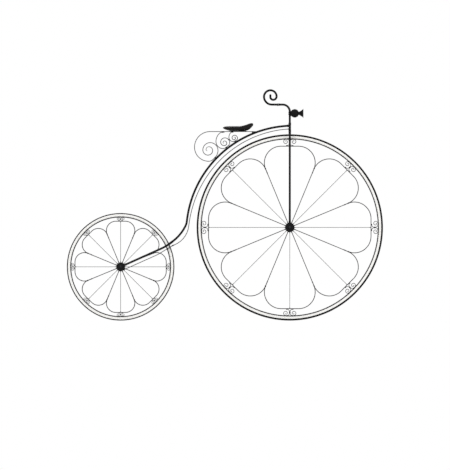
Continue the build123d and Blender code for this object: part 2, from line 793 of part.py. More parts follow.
def spring_seats():
    """Pads that seat the top leaf and the scrolls on the backbone."""
    depth = SEAT_GAP + TUBE_R
    pads = []
    for name in SCROLLS:
        x, z, heading = seat_state(name)
        pad = Pos(0, 0, -RIBBON / 2 - depth / 2) * Box(SEAT_LENGTH, SEAT_WIDTH, depth)
        pads.append(Pos(x, 0, z) * Rot(0, -heading, 0) * pad - backbone())
    front_x = SPRING_FRONT_X - SEAT_LENGTH / 2 - FRONT_SEAT_INSET
    front = Pos(front_x, 0, SPRING_Z - RIBBON / 2 - FRONT_SEAT_DEPTH / 2)
    pads.append(front * Box(SEAT_LENGTH, SEAT_WIDTH, FRONT_SEAT_DEPTH) - backbone())
    return solids_of([max(pad.solids(), key=lambda s: s.center().Z) for pad in pads])


def saddle_plate():
    """Iron plate under the saddle."""
    low = SPRING_Z + RIBBON / 2
    middle = Pos((PLATE_X[0] + PLATE_X[1]) / 2, 0, low + PLATE_THICKNESS / 2)
    return middle * Box(PLATE_X[1] - PLATE_X[0], 2 * PLATE_HALF_WIDTH, PLATE_THICKNESS)


def saddle():
    """Leather saddle: its side outline and its plan, each cut through the other."""
    side = stand(make_face(Polyline(*SADDLE_SIDE, close=True)), SADDLE_BLOCK)
    right_half = [(x, -y) for x, y in reversed(SADDLE_PLAN)]
    plan = extrude(make_face(Polyline(*(SADDLE_PLAN + right_half), close=True)), SADDLE_BLOCK)
    return side & (Pos(0, 0, SADDLE_TOP - SADDLE_BLOCK / 2) * plan)


def all_nodes():
    """Every piece of the bicycle by name, in the drawing frame."""
    nodes = {
        "head_tube": head_tube(),
        "backbone": backbone(),
        "lower_rail": lower_rail(),
        "rear_fork_crown": rear_fork_crown(),
        "rear_axle": rear_axle(),
        "rear_axle_nuts": rear_axle_nuts(),
        "lower_stay_bridge": lower_stay_bridge(),
        "saddle_spring": saddle_spring(),
        "saddle_scroll_middle": saddle_scroll("middle"),
        "saddle_scroll_small": saddle_scroll("small"),
        "spring_seats": spring_seats(),
        "saddle_plate": saddle_plate(),
        "saddle": saddle(),
        "steering_column": steering_column(),
        "fork_crown": fork_crown(),
        "handlebar_lug": handlebar_lug(),
        "horn_bracket": horn_bracket(),
        "horn_bulb": horn_bulb(),
        "horn_bell": horn_bell(),
        "front_axle": front_axle(),
    }
    for label, side in (("left", 1), ("right", -1)):
        nodes["rear_fork_blade_" + label] = rear_fork_blade(side)
        nodes["rear_fork_end_" + label] = rear_fork_end(side)
        nodes["lower_stay_" + label] = lower_stay(side)
        nodes["fork_leg_" + label] = fork_leg(side)
        nodes["fork_end_" + label] = fork_end(side)
        nodes["handlebar_" + label] = handlebar(side)
    nodes.update(wheel_nodes(FRONT))
    nodes.update(wheel_nodes(REAR))
    return nodes


os.makedirs("parts", exist_ok=True)
to_rider = Pos(-SADDLE_MIDDLE_X, 0, -SADDLE_TOP)
for node, shape in all_nodes().items():
    export_step(to_rider * shape, "parts/" + node + ".step")
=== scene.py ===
"""Penny farthing in black enamelled wrought iron, dressed around its CAD frame.

Sizes are in metres. Most are given in the bicycle's own axes, which start on the ground under the
front axle: x forward, y to the rider's left, z up. TO_ROW moves them into the frame's axes.
"""

import json
from math import asin, atan2, ceil, cos, degrees, pi, radians, sin, sqrt
from types import SimpleNamespace

import bmesh
import bpy
from bpy.props import FloatProperty, FloatVectorProperty, IntProperty, PointerProperty
from mathutils import Matrix, Vector


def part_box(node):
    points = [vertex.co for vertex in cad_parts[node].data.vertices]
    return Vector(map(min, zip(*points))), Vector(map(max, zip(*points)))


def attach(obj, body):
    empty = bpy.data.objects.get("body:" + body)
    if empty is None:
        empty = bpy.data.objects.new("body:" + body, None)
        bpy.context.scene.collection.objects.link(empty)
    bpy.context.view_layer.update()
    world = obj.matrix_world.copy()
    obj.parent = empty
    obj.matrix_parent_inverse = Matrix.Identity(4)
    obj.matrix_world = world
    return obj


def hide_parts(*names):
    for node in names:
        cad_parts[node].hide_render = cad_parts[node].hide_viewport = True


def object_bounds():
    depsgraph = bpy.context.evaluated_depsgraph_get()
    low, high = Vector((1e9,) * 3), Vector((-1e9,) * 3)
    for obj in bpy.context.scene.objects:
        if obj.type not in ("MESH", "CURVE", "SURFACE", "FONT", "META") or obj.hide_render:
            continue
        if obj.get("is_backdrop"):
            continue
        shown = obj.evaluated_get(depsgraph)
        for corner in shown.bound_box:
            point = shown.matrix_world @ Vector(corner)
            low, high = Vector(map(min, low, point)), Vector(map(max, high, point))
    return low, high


bl_info = {
    "name": "Wrought iron penny farthing",
    "version": (1, 0, 0),
    "blender": (4, 5, 0),
    "location": "View3D > Sidebar > Penny",
    "description": "Builds a penny farthing of tubes, petal spokes and scrollwork on its CAD frame",
    "category": "Add Mesh",
}

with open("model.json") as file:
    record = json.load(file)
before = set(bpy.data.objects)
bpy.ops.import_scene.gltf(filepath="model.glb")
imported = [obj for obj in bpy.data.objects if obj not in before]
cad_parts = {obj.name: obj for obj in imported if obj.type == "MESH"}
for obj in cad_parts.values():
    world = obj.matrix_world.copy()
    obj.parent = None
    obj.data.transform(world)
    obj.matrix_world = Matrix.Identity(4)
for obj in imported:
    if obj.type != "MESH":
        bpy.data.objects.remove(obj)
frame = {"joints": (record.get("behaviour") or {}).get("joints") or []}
CAD_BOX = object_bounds()

FRONT_RADIUS = 0.660
REAR_RADIUS = 0.381
# the turning pieces' running gaps are thin, so the axles' places are the joints' own
AXLES = {joint["child"]: Vector(joint["pos_m"]) for joint in frame["joints"]}
TO_ROW = Matrix.Translation((AXLES["front_wheel"].x, 0.0, AXLES["front_wheel"].z - FRONT_RADIUS))
REAR_X = AXLES["rear_wheel"].x - AXLES["front_wheel"].x
SIDES = (("left", 1), ("right", -1))

# Wheels ---------------------------------------------------
PETALS = 8
WHEELS = {
    # sizes that the boxes of the wheel's nodes don't give; steps is the count round the wheel
    "front": {
        "x": 0.0, "radius": FRONT_RADIUS, "hoop_depth": 0.0072, "channel": 0.0047,
        "corner": 0.1175, "barrel": 0.020, "flange_y": 0.030, "scroll_scale": 1.0,
        "scroll_bar": 0.0042, "steps": 240, "tyre_points": 16,
    },
    "rear": {
        "x": REAR_X, "radius": REAR_RADIUS, "hoop_depth": 0.0070, "channel": 0.0040,
        "corner": 0.0667, "barrel": 0.014, "flange_y": 0.020, "scroll_scale": 0.575,
        "scroll_bar": 0.0032, "steps": 192, "tyre_points": 14,
    },
}
TYRE_CLEAR = 0.00012          # the tyre's tread stays this far inside its node's box
MOULD_LINE = 0.00035
LIP_ROUND = 0.0011
RIM_WAIST = 0.35              # where the rim bulges most, from its inner edge to the channel
RIM_SWELL = 0.001
PETAL_LEG = 0.026
PETAL_COLLAR = 0.010
SPOKE_SPREAD = 0.0029         # spokes meet a petal this far either side of its middle
THIN_SPREAD = 0.0021
SPOKE_FERRULE = 0.010
FERRULE_WALL = 0.0009
SPOKE_SIDES = 10
FLANGE_WIDTH = 0.006
SCROLL_STEP = 0.005
SCROLL_BEND_R = 0.017
SCROLL_COLLAR = 0.009
EYE_BUD = 0.72                # radius of the bud in a scroll's eye over the bar's thickness
EYE_FULL = 0.8                # share of a scroll's length before it thins towards its eye
SCROLL_CURL = [               # radius (0 is straight), turn in degrees or length
    (0.0, 0.010),
    (0.0146, -180.0),
    (0.012, -90.0),
    (0.008, -90.0),
    (0.005, -60.0),
]

# Steering -------------------------------------------------
TUBE_R = 0.0075
TUBE_SIDES = 28
FORK_Y = 0.046
FORK_END_HALF = 0.007
FORK_END_BORE = 0.0091
FORK_SCREW_RING = 0.0215
CRANK_SEAT_R = 0.008
CRANK_SEAT_LENGTH = 0.018
CENTRE_DRILL = 0.0022
FORK_SOCKET_R = 0.0083
FORK_SOCKET_RISE = 0.046
SOCKET_ROOT = 0.003           # sockets start this far inside the round fork ends
SCREWS = 6                    # on each round fork end
CROWN_R = 0.0085
CROWN_HEIGHT = 0.012
RACE_R = 0.0095
NOTCHES = 20                  # in the lock ring
LOCK_RING_GAP = 0.0003        # between the head and the lock ring
LOCK_RING_HEIGHT = 0.0077
SPINDLE_R = 0.006
STEM_BEND_R = 0.050
STEM_SOCKET_R = 0.0084
BAR_X = -0.085
BAR_CORNER_R = 0.035
BAR_CORNER_STEPS = 12
BOLT_HEIGHT = 0.003
GRIP_START_X = -0.127
GRIP_RUNS = [
    (0.0557, -90.0),
    (0.0457, -90.0),
    (0.0435, -90.0),
    (0.024, -90.0),
    (0.020, -90.0),
    (0.0, 0.012),
]
HORN_COLLAR_R = 0.0104
HORN_COLLAR_HALF = 0.012
PLATE_X = 0.0075              # where the horn's round plate starts, ahead of the stem's middle
BULB_X = 0.035                # the middle of its bulb
BULB_STEPS = 44
BULB_SEAM = 0.0009            # half width of the bulb's moulding seam
NECK_RIBS = (0.0024, 0.0056)  # how far behind the bulb's front the ribs at its neck are
NECK_RIB = 0.0012             # half their width
NECK_R = 0.013
NECK_END_X = 0.068
BELL_WALL = 0.002
BELL_LIP = 0.001
BELL_FLARE = (0.0832, 0.0218)  # x and radius half way along the bell, outside and in its throat
THROAT_FLARE = (0.0843, 0.0201)

# Frame ----------------------------------------------------
HEAD_HALF = 0.024
HEAD_BORE = 0.00605
HEAD_SOCKET_R = 0.009
STAY_Y = 0.038
FORK_STUB = 0.044
REAR_AXLE_R = 0.006
REAR_SCREW_RING = 0.0205
BLADE_HEADING = 24.2
BLADE_RUNS = [
    (0.0, 0.2734),
    (0.302, 12.7),
]
CROWN_STUB = 0.014
BACKBONE_RUNS = [
    (0.302, 27.4),
    (0.0937, 19.6),
]
BACKBONE_R = 0.758
HEAD_SOCKET_X = -0.016
RAIL_R = 0.0026
RAIL_SIDES = 14
RAIL_SOCKET_R = 0.0036
RAIL_BEAD = 0.4               # beads on the rail's sockets over those on the tubes'
RAIL_START = (-0.828, 0.5325)
RAIL_HEADING = 21.1
RAIL_RUNS = [
    (0.1625, 62.5),
    (0.793, -34.9),
]
RAIL_TOP_R = 0.7468
BRIDGE_STUB = 0.010
STAY_KNEE = (-0.937, 0.467)
STAY_FOOT = (-1.163, 0.366)
STAY_STUB = 0.012
STAY_BEND = 0.005
CROSS_BARS = {
    # node: piece, radius, depth of the waist, its end and the full bar's start from the stays'
    # middle, width and depth of the chamfers, rounding, segments
    "rear_fork_crown": ("rear_crown_forging", 0.009, 0.0008, 0.012, 0.010, 0.002, 0.0024, 0.0009,
                        40),
    "lower_stay_bridge": ("stay_bridge_bar", 0.0046, 0.0006, 0.006, 0.005, 0.0015, 0.0018, 0.0006,
                          28),
}

# Saddle and its scrolled spring ---------------------------
RIBBON = 0.005
RIBBON_WIDTH = 0.022
RIVET_LEVEL = 0.42            # rivets start this share of the ribbon above its middle
RIVET_HEIGHT = 0.0013
LEAF_RIVET = 0.008            # rivets through the top leaf stand this far before a ribbon's end
BAND_LENGTH = 0.008           # collars between two scrolls, and how far they stand out
BAND_PROUD = (0.0016, 0.002)
SEAT_GAP = 0.0015
SEAT_LENGTH = 0.014
SEAT_WIDTH = 0.018
FRONT_SEAT_DEPTH = 0.011
SCROLLS = {
    # seat: place on the backbone's arc, degrees; back and front: runs away from the seat, each
    # (radius or 0, turn in degrees or length), back towards the top leaf, front towards the eye
    "big": {
        "seat": 136.1,
        "back": [(0.0, 0.020), (0.0431, -46.1), (0.0999, -90.0)],
        "front": [(0.0, 0.0036), (0.0675, 43.9), (0.0551, 90.0), (0.0522, 90.0),
                  (0.0364, 90.0), (0.033, 90.0), (0.0266, 90.0), (0.020, 90.0), (0.009, 80.0)],
    },
    "middle": {
        "seat": 128.2,
        "back": [(0.0, 0.004), (0.030, -38.2), (0.050, -90.0), (0.0797, -45.0)],
        "front": [(0.0, 0.020), (0.0262, 51.8), (0.034, 90.0), (0.030, 90.0), (0.025, 90.0),
                  (0.018, 90.0), (0.015, 90.0), (0.011, 90.0), (0.006, 70.0)],
    },
    "small": {
        "seat": 122.5,
        "back": [(0.0, 0.002), (0.018, -32.5), (0.031, -90.0), (0.0482, -45.0)],
        "front": [(0.0, 0.014), (0.0153, 57.5), (0.021, 90.0), (0.018, 90.0), (0.014, 90.0),
                  (0.011, 90.0), (0.008, 90.0), (0.004, 60.0)],
    },
}
SCROLL_FOOT = 0.013


# Sizes and colours that a user would change ---------------
def length(name, default, description):
    """Size property in metres."""
    return FloatProperty(name=name, default=default, description=description, unit="LENGTH",
                         precision=4)


def share(name, default, description):
    """Property from 0 to 1."""
    return FloatProperty(name=name, default=default, description=description, min=0.0, max=1.0,
                         subtype="FACTOR")


def tint(name, default, description):
    """Colour property."""
    return FloatVectorProperty(name=name, default=default, description=description, size=3,
                               min=0.0, max=1.0, subtype="COLOR")


class PennyWheels(bpy.types.PropertyGroup):
    """Sizes of the wheels' ironwork."""

    petal_bar: length("Petal bar", 0.0056, "Thickness of the petals' bar, seen from the side")
    petal_width: length("Petal width", 0.010, "Width of the petals' bar across the wheel")
    spoke_r: length("Spoke radius", 0.0026, "Radius of the spokes to the petals' legs")
    thin_spoke_r: length("Thin spoke radius", 0.0016, "Radius of the spokes to the crowns")
    scroll_width: length("Scroll width", 0.008, "Width of the wheel scrolls across the wheel")
    collar_wall: length("Collar wall", 0.0014, "Thickness of the bands that bind the bars")


class PennyFrame(bpy.types.PropertyGroup):
    """Sizes of the frame's and the steering's fittings."""

    bead: length("Bead", 0.0009, "Height of the rounded beads at sockets' mouths")
    rivet_r: length("Rivet radius", 0.0030, "Radius of the domed rivets")
    bolt_r: length("Bolt radius", 0.0030, "Radius of the small bolts' hexagon heads")
    horn_rib: length("Horn rib", 0.0006, "Height of the ribs moulded round the horn's bulb")


class PennySaddle(bpy.types.PropertyGroup):
    """Make of the saddle."""

    inset: length("Inset", 0.0026, "Room left for the leather to swell")
    swell: length("Swell", 0.0030, "Furthest that a point of the leather may move")
    voxel: length("Voxel", 0.0038, "Grid of the mesh that swells")
    pressure: FloatProperty(name="Pressure", default=4.0, description="Pressure inside the pad")
    steps: IntProperty(name="Steps", default=20, description="Frames that the pad swells for")
    stitch: length("Stitch", 0.0040, "Length of a stitch")
    welt_r: length("Welt radius", 0.0017, "Radius of the welt along the seam")


class PennyFinishes(bpy.types.PropertyGroup):
    """Colours of the bicycle."""

    enamel: tint("Enamel", (0.0045, 0.0045, 0.0048), "Black stove enamel")
    iron: tint("Worn iron", (0.034, 0.032, 0.030), "Iron where the enamel has rubbed thin")
    rim: tint("Rim enamel", (0.90, 0.895, 0.88), "Off-white enamel of the rims")
    rubber: tint("Rubber", (0.0060, 0.0060, 0.0062), "Black tyre rubber")
    leather: tint("Leather", (0.0085, 0.0075, 0.0070), "Black saddle leather")
    thread: tint("Thread", (0.024, 0.021, 0.018), "Waxed thread of the saddle's seams")
    steel: tint("Blued steel", (0.022, 0.023, 0.026), "Blued steel of nuts, bolts and axles")
    wear: share("Wear", 0.28, "How far the enamel has rubbed thin on edges")


class PennyStage(bpy.types.PropertyGroup):
    """Camera, floor and light."""

    view_x: length("View x", -0.4588, "Middle of the view along the bicycle")
    view_z: length("View z", 0.6064, "Middle of the view above the ground")
    view_height: length("View height", 3.3285, "Height that the camera sees")
    distance: length("Distance", 12.0, "Camera's distance from the wheels' plane")
    floor_size: length("Floor size", 60.0, "Length and width of the floor")
    floor: tint("Floor", (0.90, 0.90, 0.90), "Pale floor")
    ambient: share("Ambient", 0.62, "Light that the white room gives from all round")


# Paths ----------------------------------------------------
# a run is (radius, turn in degrees) for an arc, left turns positive, or (0, length) when straight
ARC_STEP = 9.0                # degrees of an arc between two rings at most
LONG_STEP = 0.040             # metres between two rings at most


def advance(state, run):
    """Position and heading (x, z, heading) after one run."""
    x, z, heading = state
    radius, amount = run
    here = radians(heading)
    if radius == 0:
        return x + amount * cos(here), z + amount * sin(here), heading
    side = radius if amount > 0 else -radius
    there = radians(heading + amount)
    x, z = x + side * (sin(there) - sin(here)), z - side * (cos(there) - cos(here))
    return x, z, heading + amount


def follow(state, runs):
    """Position and heading after a list of runs."""
    for run in runs:
        state = advance(state, run)
    return state


def sample(start, runs, long_step=LONG_STEP):
    """States along a path, close enough together for a smooth bar."""
    states = [start]
    for radius, amount in runs:
        metres = abs(amount) if radius == 0 else radius * radians(abs(amount))
        turns = 0 if radius == 0 else abs(amount) / ARC_STEP
        count = max(1, ceil(metres / long_step), ceil(turns))
        begin = states[-1]
        states += [advance(begin, (radius, amount * k / count)) for k in range(1, count + 1)]
    return states


def to_head(start, runs, radius):
    """Start and runs with a last right-hand arc that ends at the head's socket."""
    x, _, heading = follow(start, runs)
    last = degrees(asin(sin(radians(heading)) - (HEAD_SOCKET_X - x) / radius))
    return start, runs + [(radius, last - heading)]


# Places: matrices that put a part somewhere ---------------
def at(x, y, z):
    """Matrix that moves a part to a point."""
    return Matrix.Translation((x, y, z))


def lift(height):
    """Matrix that moves a part up."""
    return at(0.0, 0.0, height)


def lying(x, y, z, side=1):
    """Matrix that lays a part's z axis across the bicycle, towards `side`, at a point."""
    return at(x, y, z) @ Matrix.Rotation(-side * pi / 2, 4, "X")


def along(start, direction):
    """Matrix that puts a part's z axis along a direction from a start point."""
    return at(*start) @ Vector(direction).to_track_quat("Z", "Y").to_matrix().to_4x4()


UPSIDE_DOWN = Matrix.Rotation(pi, 4, "X")

# Parts ----------------------------------------------------
ROUND_STEPS = 3               # steps round a softened corner
FLARE_STEPS = 14              # steps along the bell's flare
CORD_SIDES = 12


class Part:
    """Points, faces and worn places of some geometry before it becomes an object."""

    def __init__(self, points=(), faces=(), worn=()):
        self.points = list(points)
        self.faces = list(faces)
        self.worn = list(worn)

    def add(self, other, matrix=Matrix()):
        """Joins a copy of another part, moved by `matrix`."""
        base = len(self.points)
        flip = matrix.determinant() < 0
        self.points += [matrix @ p for p in other.points]
        for face in other.faces:
            moved = tuple(base + i for i in face)
            self.faces.append(moved[::-1] if flip else moved)
        self.worn += other.worn
        return self

    def moved(self, matrix):
        """Copy moved by `matrix`."""
        return Part().add(self, matrix)


def circle(count):
    """Angles evenly round a circle."""
    return [2 * pi * k / count for k in range(count)]


def round_ring(centre, across, side, radius, count, worn=0.0):
    """Ring of a round bar about its centre, all of it worn alike."""
    return [(centre + (across * cos(a) + side * sin(a)) * radius, worn) for a in circle(count)]


def skin(rings, loop=False, caps=True):
    """Part whose surface runs through rings of (point, worn) pairs, all of one length."""
    count = len(rings[0])
    part = Part([p for ring in rings for p, _ in ring], [], [w for ring in rings for _, w in ring])
    for k in range(len(rings) if loop else len(rings) - 1):
        a, b = k * count, (k + 1) % len(rings) * count
        for i in range(count):
            j = (i + 1) % count
            part.faces.append((a + i, a + j, b + j, b + i))
    if caps and not loop:
        last = (len(rings) - 1) * count
        part.faces.append(tuple(range(count))[::-1])
        part.faces.append(tuple(range(last, last + count)))
    return part


def softened(corners, radius, closed=False):
    """Outline through corners, each rounded off, as (x, y, worn) points; outward corners wear."""
    area = sum(a[0] * b[1] - b[0] * a[1] for a, b in zip(corners, corners[1:] + corners[:1]))
    points = []
    for k, corner in enumerate(corners):
        here = Vector(corner)
        if not closed and k in (0, len(corners) - 1):
            points.append((here.x, here.y, 0.0))
            continue
        before = Vector(corners[k - 1]) - here
        after = Vector(corners[(k + 1) % len(corners)]) - here
        cut = min(radius, 0.45 * before.length, 0.45 * after.length)
        start, end = here + before.normalized() * cut, here + after.normalized() * cut
        outward = (before.y * after.x - before.x * after.y) * area > 0
        for step in range(ROUND_STEPS + 1):
            t = step / ROUND_STEPS
            p = start * (1 - t) ** 2 + here * 2 * t * (1 - t) + end * t * t
            points.append((p.x, p.y, 1.0 if outward and 0 < step < ROUND_STEPS else 0.0))
    return points


def revolve(profile, segments=40, closed=False):
    """Part turned about its z axis from (radius, height, worn) points."""
    rings, poles = [], []
    for k, (radius, height, worn) in enumerate(profile):
        if radius < 1e-6:
            poles.append((k, height, worn))
        else:
            rings.append([(Vector((radius * cos(a), radius * sin(a), height)), worn)
                          for a in circle(segments)])
    part = skin(rings, loop=closed, caps=False)
    for k, height, worn in poles:
        base = 0 if k == 0 else (len(rings) - 1) * segments
        pole = len(part.points)
        part.points.append(Vector((0.0, 0.0, height)))
        part.worn.append(worn)
        part.faces += [(pole, base + i, base + (i + 1) % segments) for i in range(segments)]
    return part


def turned(corners, radius=0.0006, segments=40):
    """Solid turned from (radius, height) corners that start and end at 0, with softened edges."""
    return revolve(softened(corners, radius), segments)


def rod(radius, bottom, top, edge=0.0003, segments=32):
    """Plain turned rod, disc or prism from bottom to top."""
    return turned([(0, bottom), (radius, bottom), (radius, top), (0, top)], edge, segments)


def turned_ring(corners, radius, segments):
    """Ring turned from a closed outline of (radius, height) corners, with softened edges."""
    return revolve(softened(corners, radius, closed=True), segments, closed=True)


def both_ways(right):
    """Outline from the left end to the right one, from (radius, y) corners of its right half."""
    left = [(r, -y) for r, y in reversed(right)]
    return left + (right[1:] if right[0][1] == 0 else right)


def bar_section(thickness, width, square=4.0, sides=20):
    """Section of a forged bar with rounded edges as (across, sideways, worn) points."""
    most = 2 ** (1 / 2 - 1 / square)
    points = []
    for k in range(sides):
        a = 2 * pi * (k + 0.5) / sides
        reach = (abs(cos(a)) ** square + abs(sin(a)) ** square) ** (-1 / square)
        worn = max(0.0, (reach - 1.0) / (most - 1.0)) ** 2
        points.append((thickness / 2 * reach * cos(a), width / 2 * reach * sin(a), worn))
    return points


def round_section(radius, sides=TUBE_SIDES):
    """Section of a round bar."""
    return [(radius * cos(a), radius * sin(a), 0.0) for a in circle(sides)]


END_STEPS = 4
END_TURNS = [pi / 2 * k / (END_STEPS + 0.35) for k in range(1, END_STEPS + 1)]


def sweep(states, section, y=0.0, taper=None):
    """Bar along an upright path at y. Taper gives each state's share of the full thickness."""
    taper = taper or [1.0] * len(states)
    half = max(a for a, _, _ in section)
    wide = max(c for _, c, _ in section)
    stations = [(state, share_here, 1.0) for state, share_here in zip(states, taper)]
    for turn in END_TURNS:
        first, last = -half * taper[0] * sin(turn), half * taper[-1] * sin(turn)
        stations.insert(0, (advance(states[0], (0, first)), taper[0], cos(turn)))
        stations.append((advance(states[-1], (0, last)), taper[-1], cos(turn)))
    rings = []
    for (x, z, heading), scale, shrink in stations:
        turn = radians(heading)
        across = Vector((-sin(turn), 0.0, cos(turn)))
        narrow = 1 - (1 - shrink) * half * scale / wide
        rings.append([(Vector((x, y + c * narrow, z)) + across * (a * scale * shrink),
                       max(worn, 1 - shrink)) for a, c, worn in section])
    return skin(rings)


def tube(points, radius, sides=TUBE_SIDES):
    """Round bar through points in space."""
    points = [Vector(p) for p in points]
    pairs = zip(points[:1] + points[:-1], points[1:] + points[-1:])
    heads = [(ahead - behind).normalized() for behind, ahead in pairs]
    stations = [(p, h, 1.0) for p, h in zip(points, heads)]
    for turn in END_TURNS:
        reach = radius * sin(turn)
        stations.insert(0, (points[0] - heads[0] * reach, heads[0], cos(turn)))
        stations.append((points[-1] + heads[-1] * reach, heads[-1], cos(turn)))
    normal = heads[0].orthogonal().normalized()
    rings = []
    for point, head, shrink in stations:
        normal = (normal - head * normal.dot(head)).normalized()
        rings.append(round_ring(point, normal, head.cross(normal), radius * shrink, sides))
    return skin(rings)


def block(size, square=6.0, sides=24):
    """Forged block with rounded edges, centred, from its (x, y, z) size."""
    half_x, half_y, half_z = (s / 2 for s in size)
    edge = min(half_x, half_y, half_z) * 0.35
    rings = []
    for z, shrink in ((-half_z, edge), (-half_z + edge * 0.3, edge * 0.3), (-half_z + edge, 0.0),
                      (half_z - edge, 0.0), (half_z - edge * 0.3, edge * 0.3), (half_z, edge)):
        section = bar_section(2 * (half_x - shrink), 2 * (half_y - shrink), square, sides)
        rings.append([(Vector((a, c, z)), max(worn, 1.0 if 0 < shrink < edge else 0.0))
                      for a, c, worn in section])
    return skin(rings)


def socket(start, end, y, radius, bead):
    """Round socket at y from start to end, given as x and z, with a bead at its mouth, the end."""
    run = Vector((end[0] - start[0], 0.0, end[1] - start[1]))
    top = run.length
    corners = [(0, 0), (radius, 0), (radius, top - 4.2 * bead), (radius + bead, top - 3.4 * bead),
               (radius + bead, top - 1.2 * bead), (radius, top), (0, top)]
    return turned(corners, bead, 32).moved(along((start[0], y, start[1]), run))


def rivet(radius, tall):
    """Domed rivet head that stands on the z = 0 plane."""
    profile = [(radius * cos(pi / 2 * k / 5), tall * sin(pi / 2 * k / 5), 0.5) for k in range(5)]
    return revolve([(0.0, 0.0, 0.0)] + profile + [(0.0, tall, 1.0)], 16)


def hex_bolt(radius, height):
    """Hexagon head with a chamfered top and a washer, standing on the z = 0 plane."""
    washer = rod(radius * 1.35, 0, height * 0.22, height * 0.06, 24)
    head = [(0, height * 0.15), (radius, height * 0.15), (radius, height * 0.85),
            (radius * 0.86, height), (0, height)]
    return washer.add(turned(head, height * 0.05, 6))


# Pieces ---------------------------------------------------
SHARP_ANGLE = radians(38)
SLOTS = {                     # finishes whose material slot has another name
    "forged_iron": "black_enamel",
    "charcoal_enamel": "black_enamel",
    "edge_leather": "saddle_leather",
    "saddle_thread": "saddle_leather",
}


def new_object(name, mesh):
    """Object of a mesh in the scene."""
    obj = bpy.data.objects.new(name, mesh)
    bpy.context.scene.collection.objects.link(obj)
    return obj


def dress(obj, finish, body, node=None):
    """Gives an object its finish and its body, and hides the CAD node that it stands for."""
    obj.data.materials.clear()
    obj.data.materials.append(material(finish))
    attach(obj, body)
    if node:
        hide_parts(node)
    SLOTS.get(finish, finish)


def make_piece(name, part, body, node=None, finish="black_enamel"):
    """Piece from a part given in the bicycle's axes."""
    mesh = bpy.data.meshes.new(name)
    mesh.from_pydata([TO_ROW @ p for p in part.points], [], part.faces)
    worn = mesh.attributes.new("worn", "FLOAT", "POINT")
    worn.data.foreach_set("value", part.worn)
    shape = bmesh.new()
    shape.from_mesh(mesh)
    bmesh.ops.recalc_face_normals(shape, faces=shape.faces)
    shape.to_mesh(mesh)
    shape.free()
    mesh.shade_smooth()
    mesh.set_sharp_from_angle(angle=SHARP_ANGLE)
    dress(new_object(name, mesh), finish, body, node)


def node_box(node):
    """Lowest and highest corner of a node's box in the bicycle's axes, and half its size."""
    low, high = (corner - TO_ROW.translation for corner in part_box(node))
    return low, high, (high - low) / 2


# Wheels ---------------------------------------------------
def wheel_sizes(name, ironwork):
    """Every size of a wheel, from its nodes' boxes and the table of wheels."""
    w = SimpleNamespace(name=name, **WHEELS[name])
    tyre, rim, hoop, petals, hub = (
        node_box(f"{name}_{node}")[2] for node in ("tyre", "rim", "hoop", "petals", "hub"))
    w.tyre_half = tyre.y
    w.rim_r, w.rim_half = rim.z, rim.y
    w.hoop_r, w.hoop_half = hoop.z, hoop.y
    w.hub_r, w.hub_half = hub.z, hub.y
    w.hoop_inner = w.hoop_r - w.hoop_depth
    w.crown = petals.z - ironwork.petal_bar / 2
    step = radians(180.0 / PETALS)
    arc_height = w.crown - w.corner
    w.half_crown = (arc_height * sin(step) - w.corner) / cos(step)
    w.tangent = w.half_crown * sin(step) + arc_height * cos(step)
    w.leg_foot = w.tangent - PETAL_LEG
    return w


def both_wheels(context):
    """Sizes of the front and the rear wheel."""
    return [wheel_sizes(name, context.scene.penny_wheels) for name in WHEELS]


def on_axle(w):
    """Matrix that lays a lathe-turned part's axis along the axle."""
    return lying(w.x, 0.0, w.radius)


def around_petals(w, part, first=0.0):
    """Copies of a part at every petal, its z axis away from the axle."""
    centre = at(w.x, 0.0, w.radius)
    piece = Part()
    for k in range(PETALS):
        turn = Matrix.Rotation(radians(first + 360.0 * k / PETALS), 4, "Y")
        piece.add(part, centre @ turn)
    return piece


def wheel_piece(w, name, part, finish, node):
    """Piece of a wheel that stands for one of its nodes."""
    make_piece(f"{w.name}_{name}", part, w.name + "_wheel", f"{w.name}_{node}", finish)


def build_tyre(w):
    """Solid rubber, round on top, with a mould line on each shoulder and a foot in the channel."""
    base, shoulder = w.rim_r - w.channel, w.rim_r - 0.001
    half, depth = w.tyre_half, w.radius - w.rim_r - TYRE_CLEAR
    profile = [(base, half * 0.9, 0.0), (base, -half * 0.9, 0.0), (shoulder, -half, 0.0)]
    for k in range(1, w.tyre_points):
        turn = pi * k / w.tyre_points - pi / 2
        proud = MOULD_LINE if k in (2, w.tyre_points - 2) else 0.0
        profile.append((w.rim_r + (depth + proud) * cos(turn), (half + proud) * sin(turn),
                        max(0.0, cos(turn)) ** 3))
    profile.append((shoulder, half, 0.0))
    tyre = revolve(profile, w.steps, closed=True).moved(on_axle(w))
    wheel_piece(w, "tyre_rubber", tyre, "tyre_rubber", "tyre")


def build_rim(w):
    """Channelled rim with rolled lips, in off-white enamel, and the flat iron hoop inside it."""
    top, floor, bottom = w.rim_r, w.rim_r - w.channel, w.hoop_r
    waist_r = bottom + (floor - bottom) * RIM_WAIST
    waist = (w.rim_half + w.hoop_half) / 2 + RIM_SWELL
    right = [(floor, w.tyre_half), (top, w.tyre_half), (top, w.rim_half), (floor, w.rim_half),
             (waist_r, waist), (bottom, w.hoop_half)]
    rim = turned_ring(both_ways(right), LIP_ROUND, w.steps).moved(on_axle(w))
    wheel_piece(w, "rim_band", rim, "rim_enamel", "rim")
    outer, inner, half = w.hoop_r, w.hoop_inner, w.hoop_half
    corners = [(inner, half), (outer, half), (outer, -half), (inner, -half)]
    hoop = turned_ring(corners, LIP_ROUND, w.steps).moved(on_axle(w))
    wheel_piece(w, "iron_hoop", hoop, "forged_iron", "hoop")


